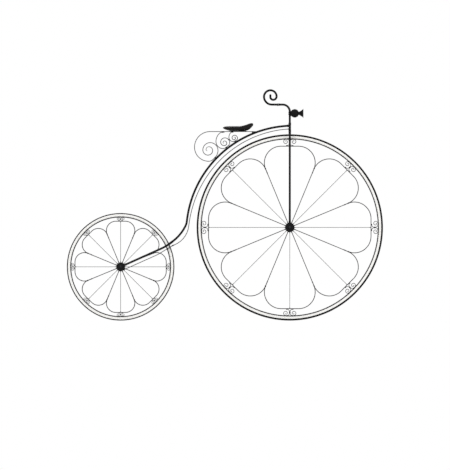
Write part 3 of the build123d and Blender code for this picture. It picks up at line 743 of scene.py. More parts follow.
def build_petals(w, ironwork):
    """Scalloped ring of arches on short legs, with a collar where each two arches part."""
    scale = w.scroll_scale ** 0.5
    bar, width, wall = ironwork.petal_bar, ironwork.petal_width, 2 * ironwork.collar_wall
    shoulder = 90.0 + 180.0 / PETALS
    begin = (w.tangent * cos(radians(shoulder)), w.tangent * sin(radians(shoulder)), shoulder)
    runs = [(w.corner, -shoulder), (0.0, 2 * w.half_crown), (w.corner, -shoulder)]
    arch = sweep(sample(begin, runs, long_step=0.012), bar_section(bar, width))
    leg = sweep([(0.0, w.leg_foot + 0.002, 90.0), (0.0, w.tangent + 0.003, 90.0)],
                bar_section(bar * 1.12, width * 1.06))
    long = PETAL_COLLAR * scale
    leg.add(block((bar * 1.15 + wall, width + wall, long)), lift(w.tangent + long * 0.4))
    leg.add(block((bar + 0.0016, width + 0.002, 0.007 * scale)), lift(w.leg_foot))
    ring = around_petals(w, arch).add(around_petals(w, leg, 180.0 / PETALS))
    wheel_piece(w, "petal_ring", ring, "forged_iron", "petals")


def eye_taper(states, least):
    """Share of thickness along a scroll: full, then thinner towards the eye."""
    last = len(states) - 1
    return [1.0 - (1.0 - least) * max(0.0, k / last - EYE_FULL) / (1 - EYE_FULL)
            for k in range(last + 1)]


def build_wheel_scrolls(w, ironwork):
    """Pairs of C scrolls between the petals' crowns and the hoop, each bound at its stem."""
    scale, bar, width = w.scroll_scale, w.scroll_bar, ironwork.scroll_width
    crown_top = w.crown + ironwork.petal_bar / 2
    step, bend = SCROLL_STEP * scale, SCROLL_BEND_R * scale
    x, z = bar / 2 + bend + step, crown_top + bar / 2
    runs = [(0.0, step), (bend, -90.0), (0.0, w.hoop_inner - z - 2 * bend), (bend, -90.0)]
    runs += [(r * scale, a if r else a * scale) for r, a in SCROLL_CURL]
    states = sample((x, z, 180.0), runs, long_step=0.006)
    curl = sweep(states, bar_section(bar, width), taper=eye_taper(states, 0.7))
    bud_r, bud_half = bar * EYE_BUD, width * 0.46
    bud = rod(bud_r, -bud_half, bud_half, bud_r * 0.5, 20)
    curl.add(bud, lying(states[-1][0], 0.0, states[-1][1]))
    pair = Part().add(curl).add(curl, Matrix.Scale(-1.0, 4, (1.0, 0.0, 0.0)))
    wall = 2 * ironwork.collar_wall
    collar = block((2 * bar + wall, width + wall, SCROLL_COLLAR * scale ** 0.5))
    pair.add(collar, lift((w.hoop_inner + crown_top) / 2))
    head = rivet(width * 0.3, width * 0.186)
    for side in (-1, 1):
        pair.add(head, at(side * (x - step * 0.4), 0.0, z + bar * 0.42))
    wheel_piece(w, "scroll_pairs", around_petals(w, pair), "forged_iron", "scrolls")


def spoke(foot, tip, radius):
    """Round spoke with a ferrule at the hub and a thinner one at its tip."""
    run = Vector(tip) - Vector(foot)
    top, wide, ferrule = run.length, radius + FERRULE_WALL, SPOKE_FERRULE
    corners = [(0, 0), (wide, 0), (wide, ferrule), (radius, ferrule + 0.001),
               (radius, top - ferrule * 0.8), (wide, top - ferrule * 0.7), (wide, top), (0, top)]
    return turned(corners, 0.0004, SPOKE_SIDES).moved(along(foot, run))


def build_spokes(w, ironwork):
    """Sixteen spokes to the petals' legs and sixteen thin ones to their crowns."""
    crown = w.crown - ironwork.petal_bar / 2
    rows = [
        # name, node, radius, spread, reach, first angle, finish
        ("spoke_set", "main_spokes", ironwork.spoke_r, SPOKE_SPREAD, w.leg_foot, 180.0 / PETALS,
         "forged_iron"),
        ("fine_spokes", "thin_spokes", ironwork.thin_spoke_r, THIN_SPREAD, crown, 0.0,
         "black_enamel"),
    ]
    for name, node, radius, spread, reach, first, finish in rows:
        pair = Part()
        for side in (-1, 1):
            foot = (0.0, side * w.flange_y, w.hub_r - 0.002)
            pair.add(spoke(foot, (0.0, side * spread, reach), radius))
        wheel_piece(w, name, around_petals(w, pair, first), finish, node)


def build_hub(w):
    """Spool with dished flanges and oil lips."""
    flange, barrel, recess = w.hub_r, w.barrel, 0.0012
    inner, outer = w.flange_y - FLANGE_WIDTH / 2, w.flange_y + FLANGE_WIDTH / 2
    right = [(barrel * 0.86, 0.0), (barrel * 0.86, inner * 0.45), (barrel, inner * 0.55),
             (barrel, inner - 0.002), (barrel + 0.003, inner), (flange, inner), (flange, outer),
             (flange - 0.004, outer), (flange - 0.0055, outer - recess),
             (barrel + 0.002, outer - recess), (barrel, w.hub_half), (0.0, w.hub_half)]
    spool = turned(both_ways(right), 0.0008, 72).moved(on_axle(w))
    wheel_piece(w, "hub_spool", spool, "charcoal_enamel", "hub")


def build_front_axle(w):
    """Turned axle ends with a bare seat for a crank and a centre drilling."""
    _, _, half = node_box("front_axle")
    journal, tip = half.z, half.y
    inner, neck = w.hub_half - 0.001, tip - CRANK_SEAT_LENGTH
    corners = [(0.0, inner), (journal, inner), (journal, neck), (CRANK_SEAT_R, neck + 0.0004),
               (CRANK_SEAT_R, tip - 0.0012), (CRANK_SEAT_R - 0.0012, tip), (CENTRE_DRILL, tip),
               (0.0, tip - CENTRE_DRILL * 1.4)]
    end = turned(corners, 0.0003, 40)
    ends = end.moved(on_axle(w)).add(end, on_axle(w) @ UPSIDE_DOWN)
    wheel_piece(w, "axle_ends", ends, "blued_steel", "axle")


# Steering -------------------------------------------------
def round_end(radius, half, bore, screw_ring):
    """Round fork end with a dished face that looks along z, a boss round the axle and screws."""
    recess = half - 0.0014
    corners = [(bore, -half), (radius, -half), (radius, half), (radius - 0.0045, half),
               (radius - 0.006, recess), (bore + 0.0075, recess), (bore + 0.006, half),
               (bore, half)]
    part = turned_ring(corners, 0.0009, 72)
    head = hex_bolt(0.0026, 0.0022)
    for k in range(SCREWS):
        turn = Matrix.Rotation(2 * pi * (k + 0.5) / SCREWS, 4, "Z")
        part.add(head, turn @ at(screw_ring, 0.0, recess))
    return part


def build_fork(front, fittings):
    """Fork ends and legs outside the front wheel, and the crown over it."""
    low, high, crown = node_box("fork_crown")
    mouth = front.radius + FORK_SOCKET_RISE
    for label, side in SIDES:
        y = side * FORK_Y
        disc_r = node_box("fork_end_" + label)[2].x
        end = round_end(disc_r, FORK_END_HALF, FORK_END_BORE, FORK_SCREW_RING)
        end = end.moved(lying(0.0, y, front.radius, side))
        root = front.radius + disc_r - SOCKET_ROOT
        end.add(socket((0.0, root), (0.0, mouth), y, FORK_SOCKET_R, fittings.bead))
        make_piece("fork_housing_" + label, end, "steering", "fork_end_" + label, "charcoal_enamel")
        leg = sweep([(0.0, mouth - 0.006, 90.0), (0.0, low.z + 0.003, 90.0)],
                    round_section(TUBE_R), y)
        make_piece("fork_tube_" + label, leg, "steering", "fork_leg_" + label)
    build_fork_crown(crown.y, low.z, high.z - low.z)


def build_fork_crown(half, bottom, race):
    """Forged crown bar with a boss for each leg, and the lower head race up to `race`."""
    section = bar_section(CROWN_HEIGHT, 2 * CROWN_R, 5.0, TUBE_SIDES)
    reach = half - CROWN_R
    stations = [(reach * k / 8, 1.0) for k in range(-8, 9)]
    for step in range(1, 6):
        turn = pi / 2 * step / 5.4
        y, shrink = reach + CROWN_R * sin(turn), cos(turn)
        stations = [(-y, shrink)] + stations + [(y, shrink)]
    middle = bottom + CROWN_HEIGHT / 2
    piece = skin([[(Vector((c * shrink, y, middle + a * shrink ** 0.3)),
                    worn if shrink == 1.0 else max(worn, 0.6)) for a, c, worn in section]
                  for y, shrink in stations])
    top = CROWN_HEIGHT + 0.0022
    boss = [(0, -0.004), (CROWN_R + 0.0004, -0.004), (CROWN_R + 0.0004, CROWN_HEIGHT + 0.0006),
            (CROWN_R - 0.002, top), (0, top)]
    for _, side in SIDES:
        piece.add(turned(boss, 0.0008, 36), at(0.0, side * FORK_Y, bottom))
    cup = [(0, CROWN_HEIGHT - 0.002), (RACE_R, CROWN_HEIGHT - 0.002), (RACE_R, race - 0.0022),
           (RACE_R - 0.0008, race - 0.0018), (RACE_R - 0.0008, race), (0, race)]
    piece.add(turned(cup, 0.0003, 48), lift(bottom))
    make_piece("fork_crown_forging", piece, "steering", "fork_crown")


def lock_ring(bottom, top, radius):
    """Ring with notches for a hook spanner."""
    bevel, deep = 0.0006, 0.0009
    rings = []
    for height, inset in ((bottom, bevel), (bottom + bevel, 0.0), (top - bevel, 0.0), (top, bevel)):
        ring = []
        for k, turn in enumerate(circle(4 * NOTCHES)):
            reach = radius - inset - (deep if k % 4 in (2, 3) else 0.0)
            ring.append((Vector((reach * cos(turn), reach * sin(turn), height)), 0.6))
        rings.append(ring)
    return skin(rings)


def build_column():
    """Lock ring, spindle and the stem that rises and bends back to the handlebar."""
    low, high, _ = node_box("steering_column")
    ring_bottom = node_box("head_tube")[1].z + LOCK_RING_GAP
    ring_top = ring_bottom + LOCK_RING_HEIGHT
    piece = lock_ring(ring_bottom, ring_top, RACE_R)
    foot = [(0, ring_top - 0.001), (RACE_R - 0.0008, ring_top - 0.001),
            (RACE_R - 0.001, ring_top + 0.0014), (TUBE_R, ring_top + 0.0042),
            (0, ring_top + 0.0042)]
    piece.add(turned(foot, 0.0006, 40))
    rise = high.z - TUBE_R - STEM_BEND_R - ring_top
    runs = [(0.0, rise), (STEM_BEND_R, 90.0), (0.0, -BAR_X - STEM_BEND_R - 0.008)]
    piece.add(sweep(sample((0.0, ring_top, 90.0), runs), round_section(TUBE_R)))
    piece.add(rod(SPINDLE_R, low.z, ring_bottom + 0.001, 0.0002))
    make_piece("steering_stem", piece, "steering", "steering_column")


def build_handlebar(fittings):
    """Lug across the stem and two bars that end in upward scrolls."""
    bar_z = node_box("steering_column")[1].z - TUBE_R
    _, _, lug = node_box("handlebar_lug")
    half, sleeve_r, bead = lug.y, lug.z - 0.0004, fittings.bead
    right = [(sleeve_r - 0.0008, 0.0), (sleeve_r - 0.0008, half - 5 * bead),
             (sleeve_r, half - 4 * bead), (sleeve_r, half - bead), (TUBE_R + 0.0005, half),
             (0.0, half)]
    piece = turned(both_ways(right), 0.0007, 40).moved(lying(BAR_X, 0.0, bar_z))
    piece.add(socket((BAR_X, bar_z), (BAR_X + 0.015, bar_z), 0.0, STEM_SOCKET_R, 0.0003))
    for _, side in SIDES:
        under = at(BAR_X, side * half * 0.55, bar_z - sleeve_r + 0.0012)
        piece.add(hex_bolt(fittings.bolt_r, BOLT_HEIGHT), under @ UPSIDE_DOWN)
    make_piece("handlebar_sleeve", piece, "steering", "handlebar_lug")
    far_y = node_box("handlebar_left")[1].y - TUBE_R
    corner_y = far_y - BAR_CORNER_R
    outline = [(BAR_X, half - 0.004, bar_z), (BAR_X, corner_y * 0.5, bar_z)]
    for k in range(BAR_CORNER_STEPS + 1):
        turn = pi / 2 * k / BAR_CORNER_STEPS
        outline.append((BAR_X - BAR_CORNER_R * (1 - cos(turn)),
                        corner_y + BAR_CORNER_R * sin(turn), bar_z))
    scroll = sample((GRIP_START_X, bar_z, 180.0), GRIP_RUNS, long_step=0.008)
    outline += [(x, far_y, z) for x, z, _ in scroll]
    for label, side in SIDES:
        bar = tube([(x, side * y, z) for x, y, z in outline], TUBE_R)
        make_piece("handlebar_bar_" + label, bar, "steering", "handlebar_" + label)


# Horn -----------------------------------------------------
def arc_through(a, b, c):
    """Points along the arc through three points of a plane, as (y, x, worn)."""
    (ax, ay), (bx, by), (cx, cy) = a, b, c
    d = 2 * (ax * (by - cy) + bx * (cy - ay) + cx * (ay - by))
    a2, b2, c2 = ax * ax + ay * ay, bx * bx + by * by, cx * cx + cy * cy
    ux = (a2 * (by - cy) + b2 * (cy - ay) + c2 * (ay - by)) / d
    uy = (a2 * (cx - bx) + b2 * (ax - cx) + c2 * (bx - ax)) / d
    radius = sqrt((ax - ux) ** 2 + (ay - uy) ** 2)
    first, last = atan2(ay - uy, ax - ux), atan2(cy - uy, cx - ux)
    turn = (last - first + pi) % (2 * pi) - pi
    angles = [first + turn * k / FLARE_STEPS for k in range(FLARE_STEPS + 1)]
    return [(uy + radius * sin(angle), ux + radius * cos(angle), 0.0) for angle in angles]


def build_horn(fittings):
    """Bulb horn ahead of the stem: collar and plate, rubber bulb, flared bell."""
    bulb_low, bulb_high, bulb = node_box("horn_bulb")
    _, bell_high, bell = node_box("horn_bell")
    plate_r = node_box("horn_bracket")[2].z
    z = (bulb_low.z + bulb_high.z) / 2
    forward = lift(z) @ Matrix.Rotation(pi / 2, 4, "Y")
    build_horn_collar(z, forward, plate_r, bulb_low.x, fittings)
    build_horn_bulb(forward, bulb.z, bulb_low.x, bulb_high.x, fittings.horn_rib)
    build_horn_bell(forward, bulb_high.x, bell_high.x, bell.z, fittings.bead)


def build_horn_collar(z, forward, plate_r, seat_x, fittings):
    """Collar round the stem with two bolts, and the round plate that holds the bulb."""
    radius, half = HORN_COLLAR_R, HORN_COLLAR_HALF
    right = [(radius - 0.0012, half * 0.45), (radius, half * 0.55), (radius, half * 0.8),
             (radius - 0.001, half), (0, half)]
    piece = turned(both_ways(right)).moved(lift(z))
    plate = [(0, PLATE_X), (plate_r - 0.002, PLATE_X), (plate_r, PLATE_X + 0.0015),
             (plate_r, seat_x - 0.0015), (plate_r - 0.0008, seat_x), (0, seat_x)]
    piece.add(turned(plate, 0.0008, 48), forward)
    for _, side in SIDES:
        piece.add(hex_bolt(fittings.bolt_r, BOLT_HEIGHT),
                  along((0.0, side * (radius - 0.0018), z), (0.0, side, 0.0)))
    make_piece("horn_collar", piece, "steering", "horn_bracket")


def build_horn_bulb(forward, radius, seat_x, front_x, rib):
    """Rubber bulb with a moulding seam at its middle and two ribs at its neck."""
    profile = [(0.0, seat_x, 0.0)]
    for k in range(BULB_STEPS + 1):
        x = seat_x + (front_x - seat_x) * k / BULB_STEPS
        seam = max(0.0, 1 - abs(x - BULB_X) / BULB_SEAM)
        neck = sum(max(0.0, 1 - abs(x - front_x + back) / NECK_RIB) for back in NECK_RIBS)
        r = sqrt(max(0.0, radius ** 2 - (x - BULB_X) ** 2)) - rib * 0.5
        profile.append((r + rib * (0.5 * seam + neck), x, 0.5 * max(seam, neck)))
    profile.append((0.0, front_x, 0.0))
    make_piece("horn_rubber_bulb", revolve(profile, 64).moved(forward), "steering", "horn_bulb",
               "horn_rubber")


def build_horn_bell(forward, root_x, mouth_x, mouth_r, bead):
    """Bell with a beaded neck, a flare, a rolled lip and an open throat."""
    edge_x = mouth_x - 0.0012
    outer = arc_through((NECK_END_X, NECK_R), BELL_FLARE, (edge_x, mouth_r - 0.0006))
    inner = arc_through((edge_x, mouth_r - BELL_WALL), THROAT_FLARE,
                        (NECK_END_X, NECK_R - BELL_WALL))
    lip = [(mouth_r - BELL_LIP + BELL_LIP * cos(t), mouth_x - BELL_LIP + BELL_LIP * sin(t), 1.0)
           for t in (0.0, pi / 4, pi / 2, 3 * pi / 4)]
    slim, full = NECK_R - 0.0006, NECK_R + bead * 0.5
    neck = softened([(0, root_x), (NECK_R - 0.0005, root_x), (full, root_x + 0.0012),
                     (full, root_x + 0.003), (slim, root_x + 0.0042),
                     (slim, NECK_END_X - 0.0015), (NECK_R, NECK_END_X - 0.0004)], 0.0005)
    throat = [(0.0, NECK_END_X, 0.0)]
    bell = revolve(neck[:-1] + outer + lip + inner + throat, 72)
    make_piece("horn_flared_bell", bell.moved(forward), "steering", "horn_bell")


# Frame ----------------------------------------------------
def blade_foot():
    """State at the lower end of a rear fork blade."""
    return advance((REAR_X, REAR_RADIUS, BLADE_HEADING), (0.0, FORK_STUB))


def crown_state():
    """State at the middle of the rear fork's crown."""
    return follow(blade_foot(), BLADE_RUNS + [(0.0, CROWN_STUB)])


def backbone_path():
    """Start of the backbone at the rear crown, and its runs to the head."""
    return to_head(advance(crown_state(), (0.0, CROWN_STUB)), BACKBONE_RUNS, BACKBONE_R)


def rail_path():
    """Start of the lower rail at its bridge, and its runs to the head."""
    return to_head(advance((*RAIL_START, RAIL_HEADING), (0.0, BRIDGE_STUB)), RAIL_RUNS, RAIL_TOP_R)


def build_backbone(fittings):
    """Backbone, lower rail and the head that carries both."""
    paths = {"backbone": backbone_path(), "lower_rail": rail_path()}
    rows = [
        # node, piece, radius, sides, radius of its socket on the head
        ("backbone", "backbone_tube", TUBE_R, TUBE_SIDES, HEAD_SOCKET_R),
        ("lower_rail", "lower_rail_rod", RAIL_R, RAIL_SIDES, RAIL_SOCKET_R),
    ]
    for node, piece, radius, sides, _ in rows:
        bar = sweep(sample(*paths[node], long_step=0.03), round_section(radius, sides))
        make_piece(piece, bar, "frame", node)
    low, high, half = node_box("head_tube")
    middle, radius = (low.z + high.z) / 2, half.y
    right = [(radius - 0.001, 0.0), (radius - 0.001, 0.0145), (radius, 0.0158), (radius, 0.0200),
             (radius - 0.0006, 0.0206), (radius, 0.0212), (radius, HEAD_HALF),
             (HEAD_BORE, HEAD_HALF)]
    head = turned_ring(both_ways(right), 0.0006, 48).moved(lift(middle))
    for node, _, _, _, size in rows:
        x, z, heading = follow(*paths[node])
        inward = (-x - radius * 0.8) / cos(radians(heading))
        root = advance((x, z, heading), (0.0, inward))
        bead = fittings.bead * size / 0.012
        head.add(socket(root, (x - 0.0005, z), 0.0, size, bead))
    oiler = [(0, 0), (0.0032, 0), (0.0032, 0.0018), (0.0024, 0.0024), (0.0024, 0.0036), (0, 0.0044)]
    head.add(turned(oiler, 0.0005, 20), along((0.0, 0.0014 - radius, middle), (0.0, -1.0, 0.0)))
    make_piece("head_lug", head, "frame", "head_tube")


def build_cross_bar(node, place, ahead, behind, size, bead):
    """Turned bar between the stays, with a socket ahead in the middle and one behind each side."""
    piece, radius, waist, inner, outer, wide, deep, edge, segments = CROSS_BARS[node]
    half = node_box(node)[2].y
    right = [(radius - waist, 0.0), (radius - waist, STAY_Y - inner), (radius, STAY_Y - outer),
             (radius, half - wide), (radius - deep, half), (0.0, half)]
    bar = turned(both_ways(right), edge, segments).moved(lying(place[0], 0.0, place[1]))
    for end, y in ((ahead, 0.0), (behind, STAY_Y), (behind, -STAY_Y)):
        bar.add(socket(place, end, y, size, bead))
    make_piece(piece, bar, "frame", node)


def build_rear_fork(fittings):
    """Rear crown, blades, fork ends, axle, nuts, bridge and stays."""
    state = crown_state()
    ahead, behind = (advance(state, (0.0, run)) for run in (CROWN_STUB, -CROWN_STUB))
    build_cross_bar("rear_fork_crown", state[:2], ahead, behind, FORK_SOCKET_R, fittings.bead)
    foot = blade_foot()
    states = [advance(foot, (0.0, -0.004))] + sample(foot, BLADE_RUNS, long_step=0.03)
    for label, side in SIDES:
        blade = sweep(states, round_section(TUBE_R), side * STAY_Y)
        make_piece("rear_blade_tube_" + label, blade, "frame", "rear_fork_blade_" + label)
        build_rear_end(label, side, fittings)
        build_lower_stay(label, side)
    build_rear_axle()
    ahead = advance((*RAIL_START, RAIL_HEADING), (0.0, BRIDGE_STUB))
    behind = toward(RAIL_START, STAY_KNEE, BRIDGE_STUB)
    build_cross_bar("lower_stay_bridge", RAIL_START, ahead, behind, RAIL_SOCKET_R,
                    fittings.bead * RAIL_BEAD)


def toward(start, end, far):
    """Point `far` from start on the way to end, as x, z."""
    run = Vector(end) - Vector(start)
    return tuple(Vector(start) + run.normalized() * far)


def build_rear_end(label, side, fittings):
    """Round fork end with sockets for the blade and the stay."""
    y = side * STAY_Y
    _, _, size = node_box("rear_fork_end_" + label)
    end = round_end(size.z, size.y, REAR_AXLE_R, REAR_SCREW_RING)
    end = end.moved(lying(REAR_X, y, REAR_RADIUS, side))
    edge = advance((REAR_X, REAR_RADIUS, BLADE_HEADING), (0.0, size.z - SOCKET_ROOT))
    end.add(socket(edge, blade_foot(), y, FORK_SOCKET_R, fittings.bead))
    root = toward(STAY_FOOT, STAY_KNEE, -STAY_STUB)
    end.add(socket(root, STAY_FOOT, y, RAIL_SOCKET_R, fittings.bead * RAIL_BEAD))
    make_piece("rear_housing_" + label, end, "frame", "rear_fork_end_" + label, "charcoal_enamel")


def build_lower_stay(label, side):
    """Thin stay under a blade, bent at its knee."""
    top = toward(RAIL_START, STAY_KNEE, BRIDGE_STUB)
    path = [STAY_FOOT, toward(STAY_KNEE, STAY_FOOT, STAY_STUB),
            toward(STAY_KNEE, STAY_FOOT, STAY_BEND), toward(STAY_KNEE, top, STAY_BEND),
            toward(STAY_KNEE, top, STAY_STUB), top]
    stay = tube([(x, side * STAY_Y, z) for x, z in path], RAIL_R, RAIL_SIDES)
    make_piece("stay_rod_" + label, stay, "frame", "lower_stay_" + label)


def build_rear_axle():
    """Fixed axle, washers and domed nuts."""
    _, _, size = node_box("rear_axle")
    half = size.y
    axle = rod(size.z, -half, half).moved(lying(REAR_X, 0.0, REAR_RADIUS))
    make_piece("rear_axle_rod", axle, "frame", "rear_axle", "blued_steel")
    _, _, nuts = node_box("rear_axle_nuts")
    tall, reach = nuts.y - half, nuts.x
    nut = rod(reach * 1.12, 0, 0.0012)
    nut.add(turned([(0, 0.001), (reach, 0.001), (reach, tall * 0.46),
                    (reach * 0.84, tall * 0.56), (0, tall * 0.56)], 0.0003, 6))
    dome = [(reach * 0.74 * cos(a), tall * 0.5 * (1 + sin(a)), 0.4)
            for a in (pi / 2 * k / 8 for k in range(8))]
    nut.add(revolve([(0.0, 0.001, 0.0)] + dome + [(0.0, tall, 0.6)], 32))
    piece = Part()
    for _, side in SIDES:
        piece.add(nut, lying(REAR_X, side * half, REAR_RADIUS, side))
    make_piece("rear_domed_nuts", piece, "frame", "rear_axle_nuts", "blued_steel")


# Saddle spring --------------------------------------------
def seat_state(name):
    """Middle of a scroll's seat on the backbone, heading forward."""
    x, z, heading = follow(*backbone_path())
    centre_x = x + BACKBONE_R * sin(radians(heading))
    centre_z = z - BACKBONE_R * cos(radians(heading))
    angle = radians(SCROLLS[name]["seat"])
    radius = BACKBONE_R + TUBE_R + SEAT_GAP + RIBBON / 2
    return (centre_x + radius * cos(angle), centre_z + radius * sin(angle),
            SCROLLS[name]["seat"] - 90.0)


def scroll_path(name, level, foot_end=None):
    """Start and runs of a scroll from its top leaf at `level`, round its seat, to its eye."""
    x, z, heading = seat_state(name)
    back = SCROLLS[name]["back"]
    outer = follow((x, z, heading + 180.0), back)
    rest = outer[2]
    radius = (level - outer[1]) / (1 - cos(radians(rest)))
    top = advance(outer, (radius, -rest))
    foot = SCROLL_FOOT if foot_end is None else foot_end - top[0]
    runs = [(0.0, foot), (radius, rest)]
    runs += [(r, a if r == 0 else -a) for r, a in reversed(back)]
    return (top[0] + foot, level, 180.0), runs + SCROLLS[name]["front"]


def nearest(one, other):
    """Closest pair of states of two paths."""
    pairs = [(Vector(a[:2]) - Vector(b[:2])).length_squared for a in one for b in other]
    best = min(range(len(pairs)), key=pairs.__getitem__)
    return one[best // len(other)], other[best % len(other)]


def build_spring(fittings):
    """Scrolled spring of three ribbons, its seats on the backbone, collars and rivets."""
    _, high, _ = node_box("saddle_spring")
    level = high.z - RIBBON / 2
    rows = [
        # scroll, piece, node, level of its top leaf, where that leaf ends
        ("big", "spring_leaf_and_scroll", "saddle_spring", level, high.x),
        ("middle", "spring_middle_scroll", "saddle_scroll_middle", level - RIBBON, None),
        ("small", "spring_small_scroll", "saddle_scroll_small", level - RIBBON, None),
    ]
    section = bar_section(RIBBON, RIBBON_WIDTH, 6.0, TUBE_SIDES)
    paths = {}
    for name, piece, node, height, foot_end in rows:
        states = sample(*scroll_path(name, height, foot_end), long_step=0.010)
        paths[name] = states
        ribbon = sweep(states, section, taper=eye_taper(states, 0.6))
        make_piece(piece, ribbon, "frame", node, "forged_iron")
    build_spring_fittings(paths, level, fittings)


def build_spring_fittings(paths, level, fittings):
    """Seat blocks on the backbone, collars between the scrolls, rivets in the ribbons."""
    depth, proud = SEAT_GAP + TUBE_R, RIBBON * RIVET_LEVEL
    seats, collars, rivets = Part(), Part(), Part()
    head = rivet(fittings.rivet_r, RIVET_HEIGHT)
    for name in SCROLLS:
        x, z, heading = seat_state(name)
        tilt = at(x, 0.0, z) @ Matrix.Rotation(radians(-heading), 4, "Y")
        under = tilt @ lift(-RIBBON / 2 - depth / 2)
        seats.add(block((SEAT_LENGTH, SEAT_WIDTH, depth)), under)
        rivets.add(head, tilt @ lift(proud))
    seat_x = node_box("spring_seats")[1].x - SEAT_LENGTH / 2
    wedge = at(seat_x, 0.0, level - RIBBON / 2 - FRONT_SEAT_DEPTH / 2)
    seats.add(block((SEAT_LENGTH, SEAT_WIDTH, FRONT_SEAT_DEPTH)), wedge)
    rivets.add(head, at(seat_x, 0.0, level + proud))
    make_piece("spring_seat_blocks", seats, "frame", "spring_seats")
    for one, other in (("big", "middle"), ("middle", "small")):
        a, b = nearest(paths[one], paths[other])
        gap = Vector(b[:2]) - Vector(a[:2])
        size = (gap.length + RIBBON + BAND_PROUD[0], RIBBON_WIDTH + BAND_PROUD[1], BAND_LENGTH)
        turn = Matrix.Rotation(-atan2(gap.y, gap.x), 4, "Y")
        collars.add(block(size), at((a[0] + b[0]) / 2, 0.0, (a[1] + b[1]) / 2) @ turn)
    for name in ("middle", "small"):
        x = paths[name][0][0] - LEAF_RIVET
        rivets.add(head, at(x, 0.0, level + proud))
        rivets.add(head, at(x, 0.0, level - RIBBON - proud) @ UPSIDE_DOWN)
    make_piece("spring_collars", collars, "frame", finish="forged_iron")
    make_piece("spring_rivets", rivets, "frame", finish="blued_steel")


# Saddle ---------------------------------------------------
SADDLE_TOP_LINE = [           # x, z of the saddle's top from the rear to the nose
    (-0.4735, 1.3665), (-0.466, 1.3735), (-0.452, 1.3768), (-0.425, 1.3776), (-0.385, 1.3776),
    (-0.350, 1.3778), (-0.325, 1.3828), (-0.298, 1.3920), (-0.276, 1.4000), (-0.264, 1.4015),
    (-0.2590, 1.3890),
]
SADDLE_UNDER_LINE = [         # x, z of its underside
    (-0.4735, 1.3660), (-0.466, 1.3590), (-0.452, 1.3515), (-0.432, 1.3462), (-0.400, 1.3454),
    (-0.350, 1.3454), (-0.312, 1.3458), (-0.296, 1.3500), (-0.279, 1.3625), (-0.266, 1.3765),
    (-0.2590, 1.3875),
]
SADDLE_HALF_WIDTHS = [        # x, half width seen from above
    (-0.4735, 0.022), (-0.470, 0.048), (-0.460, 0.068), (-0.445, 0.080), (-0.420, 0.0845),
    (-0.390, 0.0775), (-0.355, 0.0535), (-0.325, 0.0345), (-0.290, 0.0262), (-0.266, 0.0225),
    (-0.2590, 0.0125),
]
SADDLE_RIVETS = [             # x, y of the rivets that hold the leather at the rear and the nose
    (-0.4615, 0.0), (-0.4600, 0.026), (-0.4600, -0.026), (-0.4520, 0.050), (-0.4520, -0.050),
    (-0.2740, 0.0075), (-0.2740, -0.0075),
]
SADDLE_FLOOR = 1.3454         # the leather's underside lies on its plate at this height
SADDLE_STATIONS = 56
SADDLE_SIDES = 56
SIDE_TUCK = 0.20              # the underside is narrower than the top by this share
SEAM_STATIONS = 110
SEAM_HEIGHT = 0.84            # share of the way up the side
HEM_HEIGHT = 0.12
SEAM_LIFT = 0.0004
CORD_STEP = 0.004
HEM_THIN = 0.7                # the hem's radius over the welt's
STITCH_INWARD = 0.0115
STITCH_PITCH = 1.45           # from one stitch to the next, in stitches
STITCH_STEPS = 6
THREAD_R = 0.00045
THREAD_LIFT = 0.0002
LEATHER_RIVET = (0.0032, 0.0009)  # radius and height of the rivets through the leather
PLATE_BOLTS = (0.046, 0.020)  # x, y from the plate's middle
CLOTH = {
    "use_pressure": True,
    "tension_stiffness": 25.0,
    "compression_stiffness": 25.0,
    "shear_stiffness": 8.0,
    "bending_stiffness": 2.0,
}


def on_line(table, x):
    """Height of a smooth line through a table's points at x."""
    last = len(table) - 1
    k = next((i for i in range(last) if x <= table[i + 1][0]), last - 1)
    (x0, y0), (x1, y1) = table[k], table[k + 1]

    def slope(i):
        """Slope of the line at a point of the table."""
        a, b = table[max(i - 1, 0)], table[min(i + 1, last)]
        return (b[1] - a[1]) / (b[0] - a[0])

    t, run = (x - x0) / (x1 - x0), x1 - x0
    return ((2 * t ** 3 - 3 * t ** 2 + 1) * y0 + (t ** 3 - 2 * t ** 2 + t) * run * slope(k)
            + (3 * t ** 2 - 2 * t ** 3) * y1 + (t ** 3 - t ** 2) * run * slope(k + 1))


def along_saddle(inset, count):
    """Places along the saddle, `inset` from its ends and closer together there."""
    first, last = SADDLE_TOP_LINE[0][0] + inset, SADDLE_TOP_LINE[-1][0] - inset
    return [first + (last - first) * (1 - cos(pi * k / count)) / 2 for k in range(count + 1)]


def signed_power(value, power):
    """Power of a value's size that keeps its sign."""
    return abs(value) ** power * (1 if value > 0 else -1)


def saddle_ring(x, inset):
    """Section of the saddle at x: crowned top, full upper edge, sides tucked in below."""
    top, under = on_line(SADDLE_TOP_LINE, x) - inset, on_line(SADDLE_UNDER_LINE, x) + inset
    wide = on_line(SADDLE_HALF_WIDTHS, x) - inset
    middle, half = (top + under) / 2, max(0.0004, (top - under) / 2)
    ring = []
    for a in circle(SADDLE_SIDES):
        up = signed_power(sin(a), 0.62 if sin(a) > 0 else 0.48)
        out = signed_power(cos(a), 0.55)
        tuck = 1 - SIDE_TUCK * max(0.0, -up) ** 2
        ring.append((Vector((x, wide * out * tuck, middle + half * up)), 0.0))
    return ring


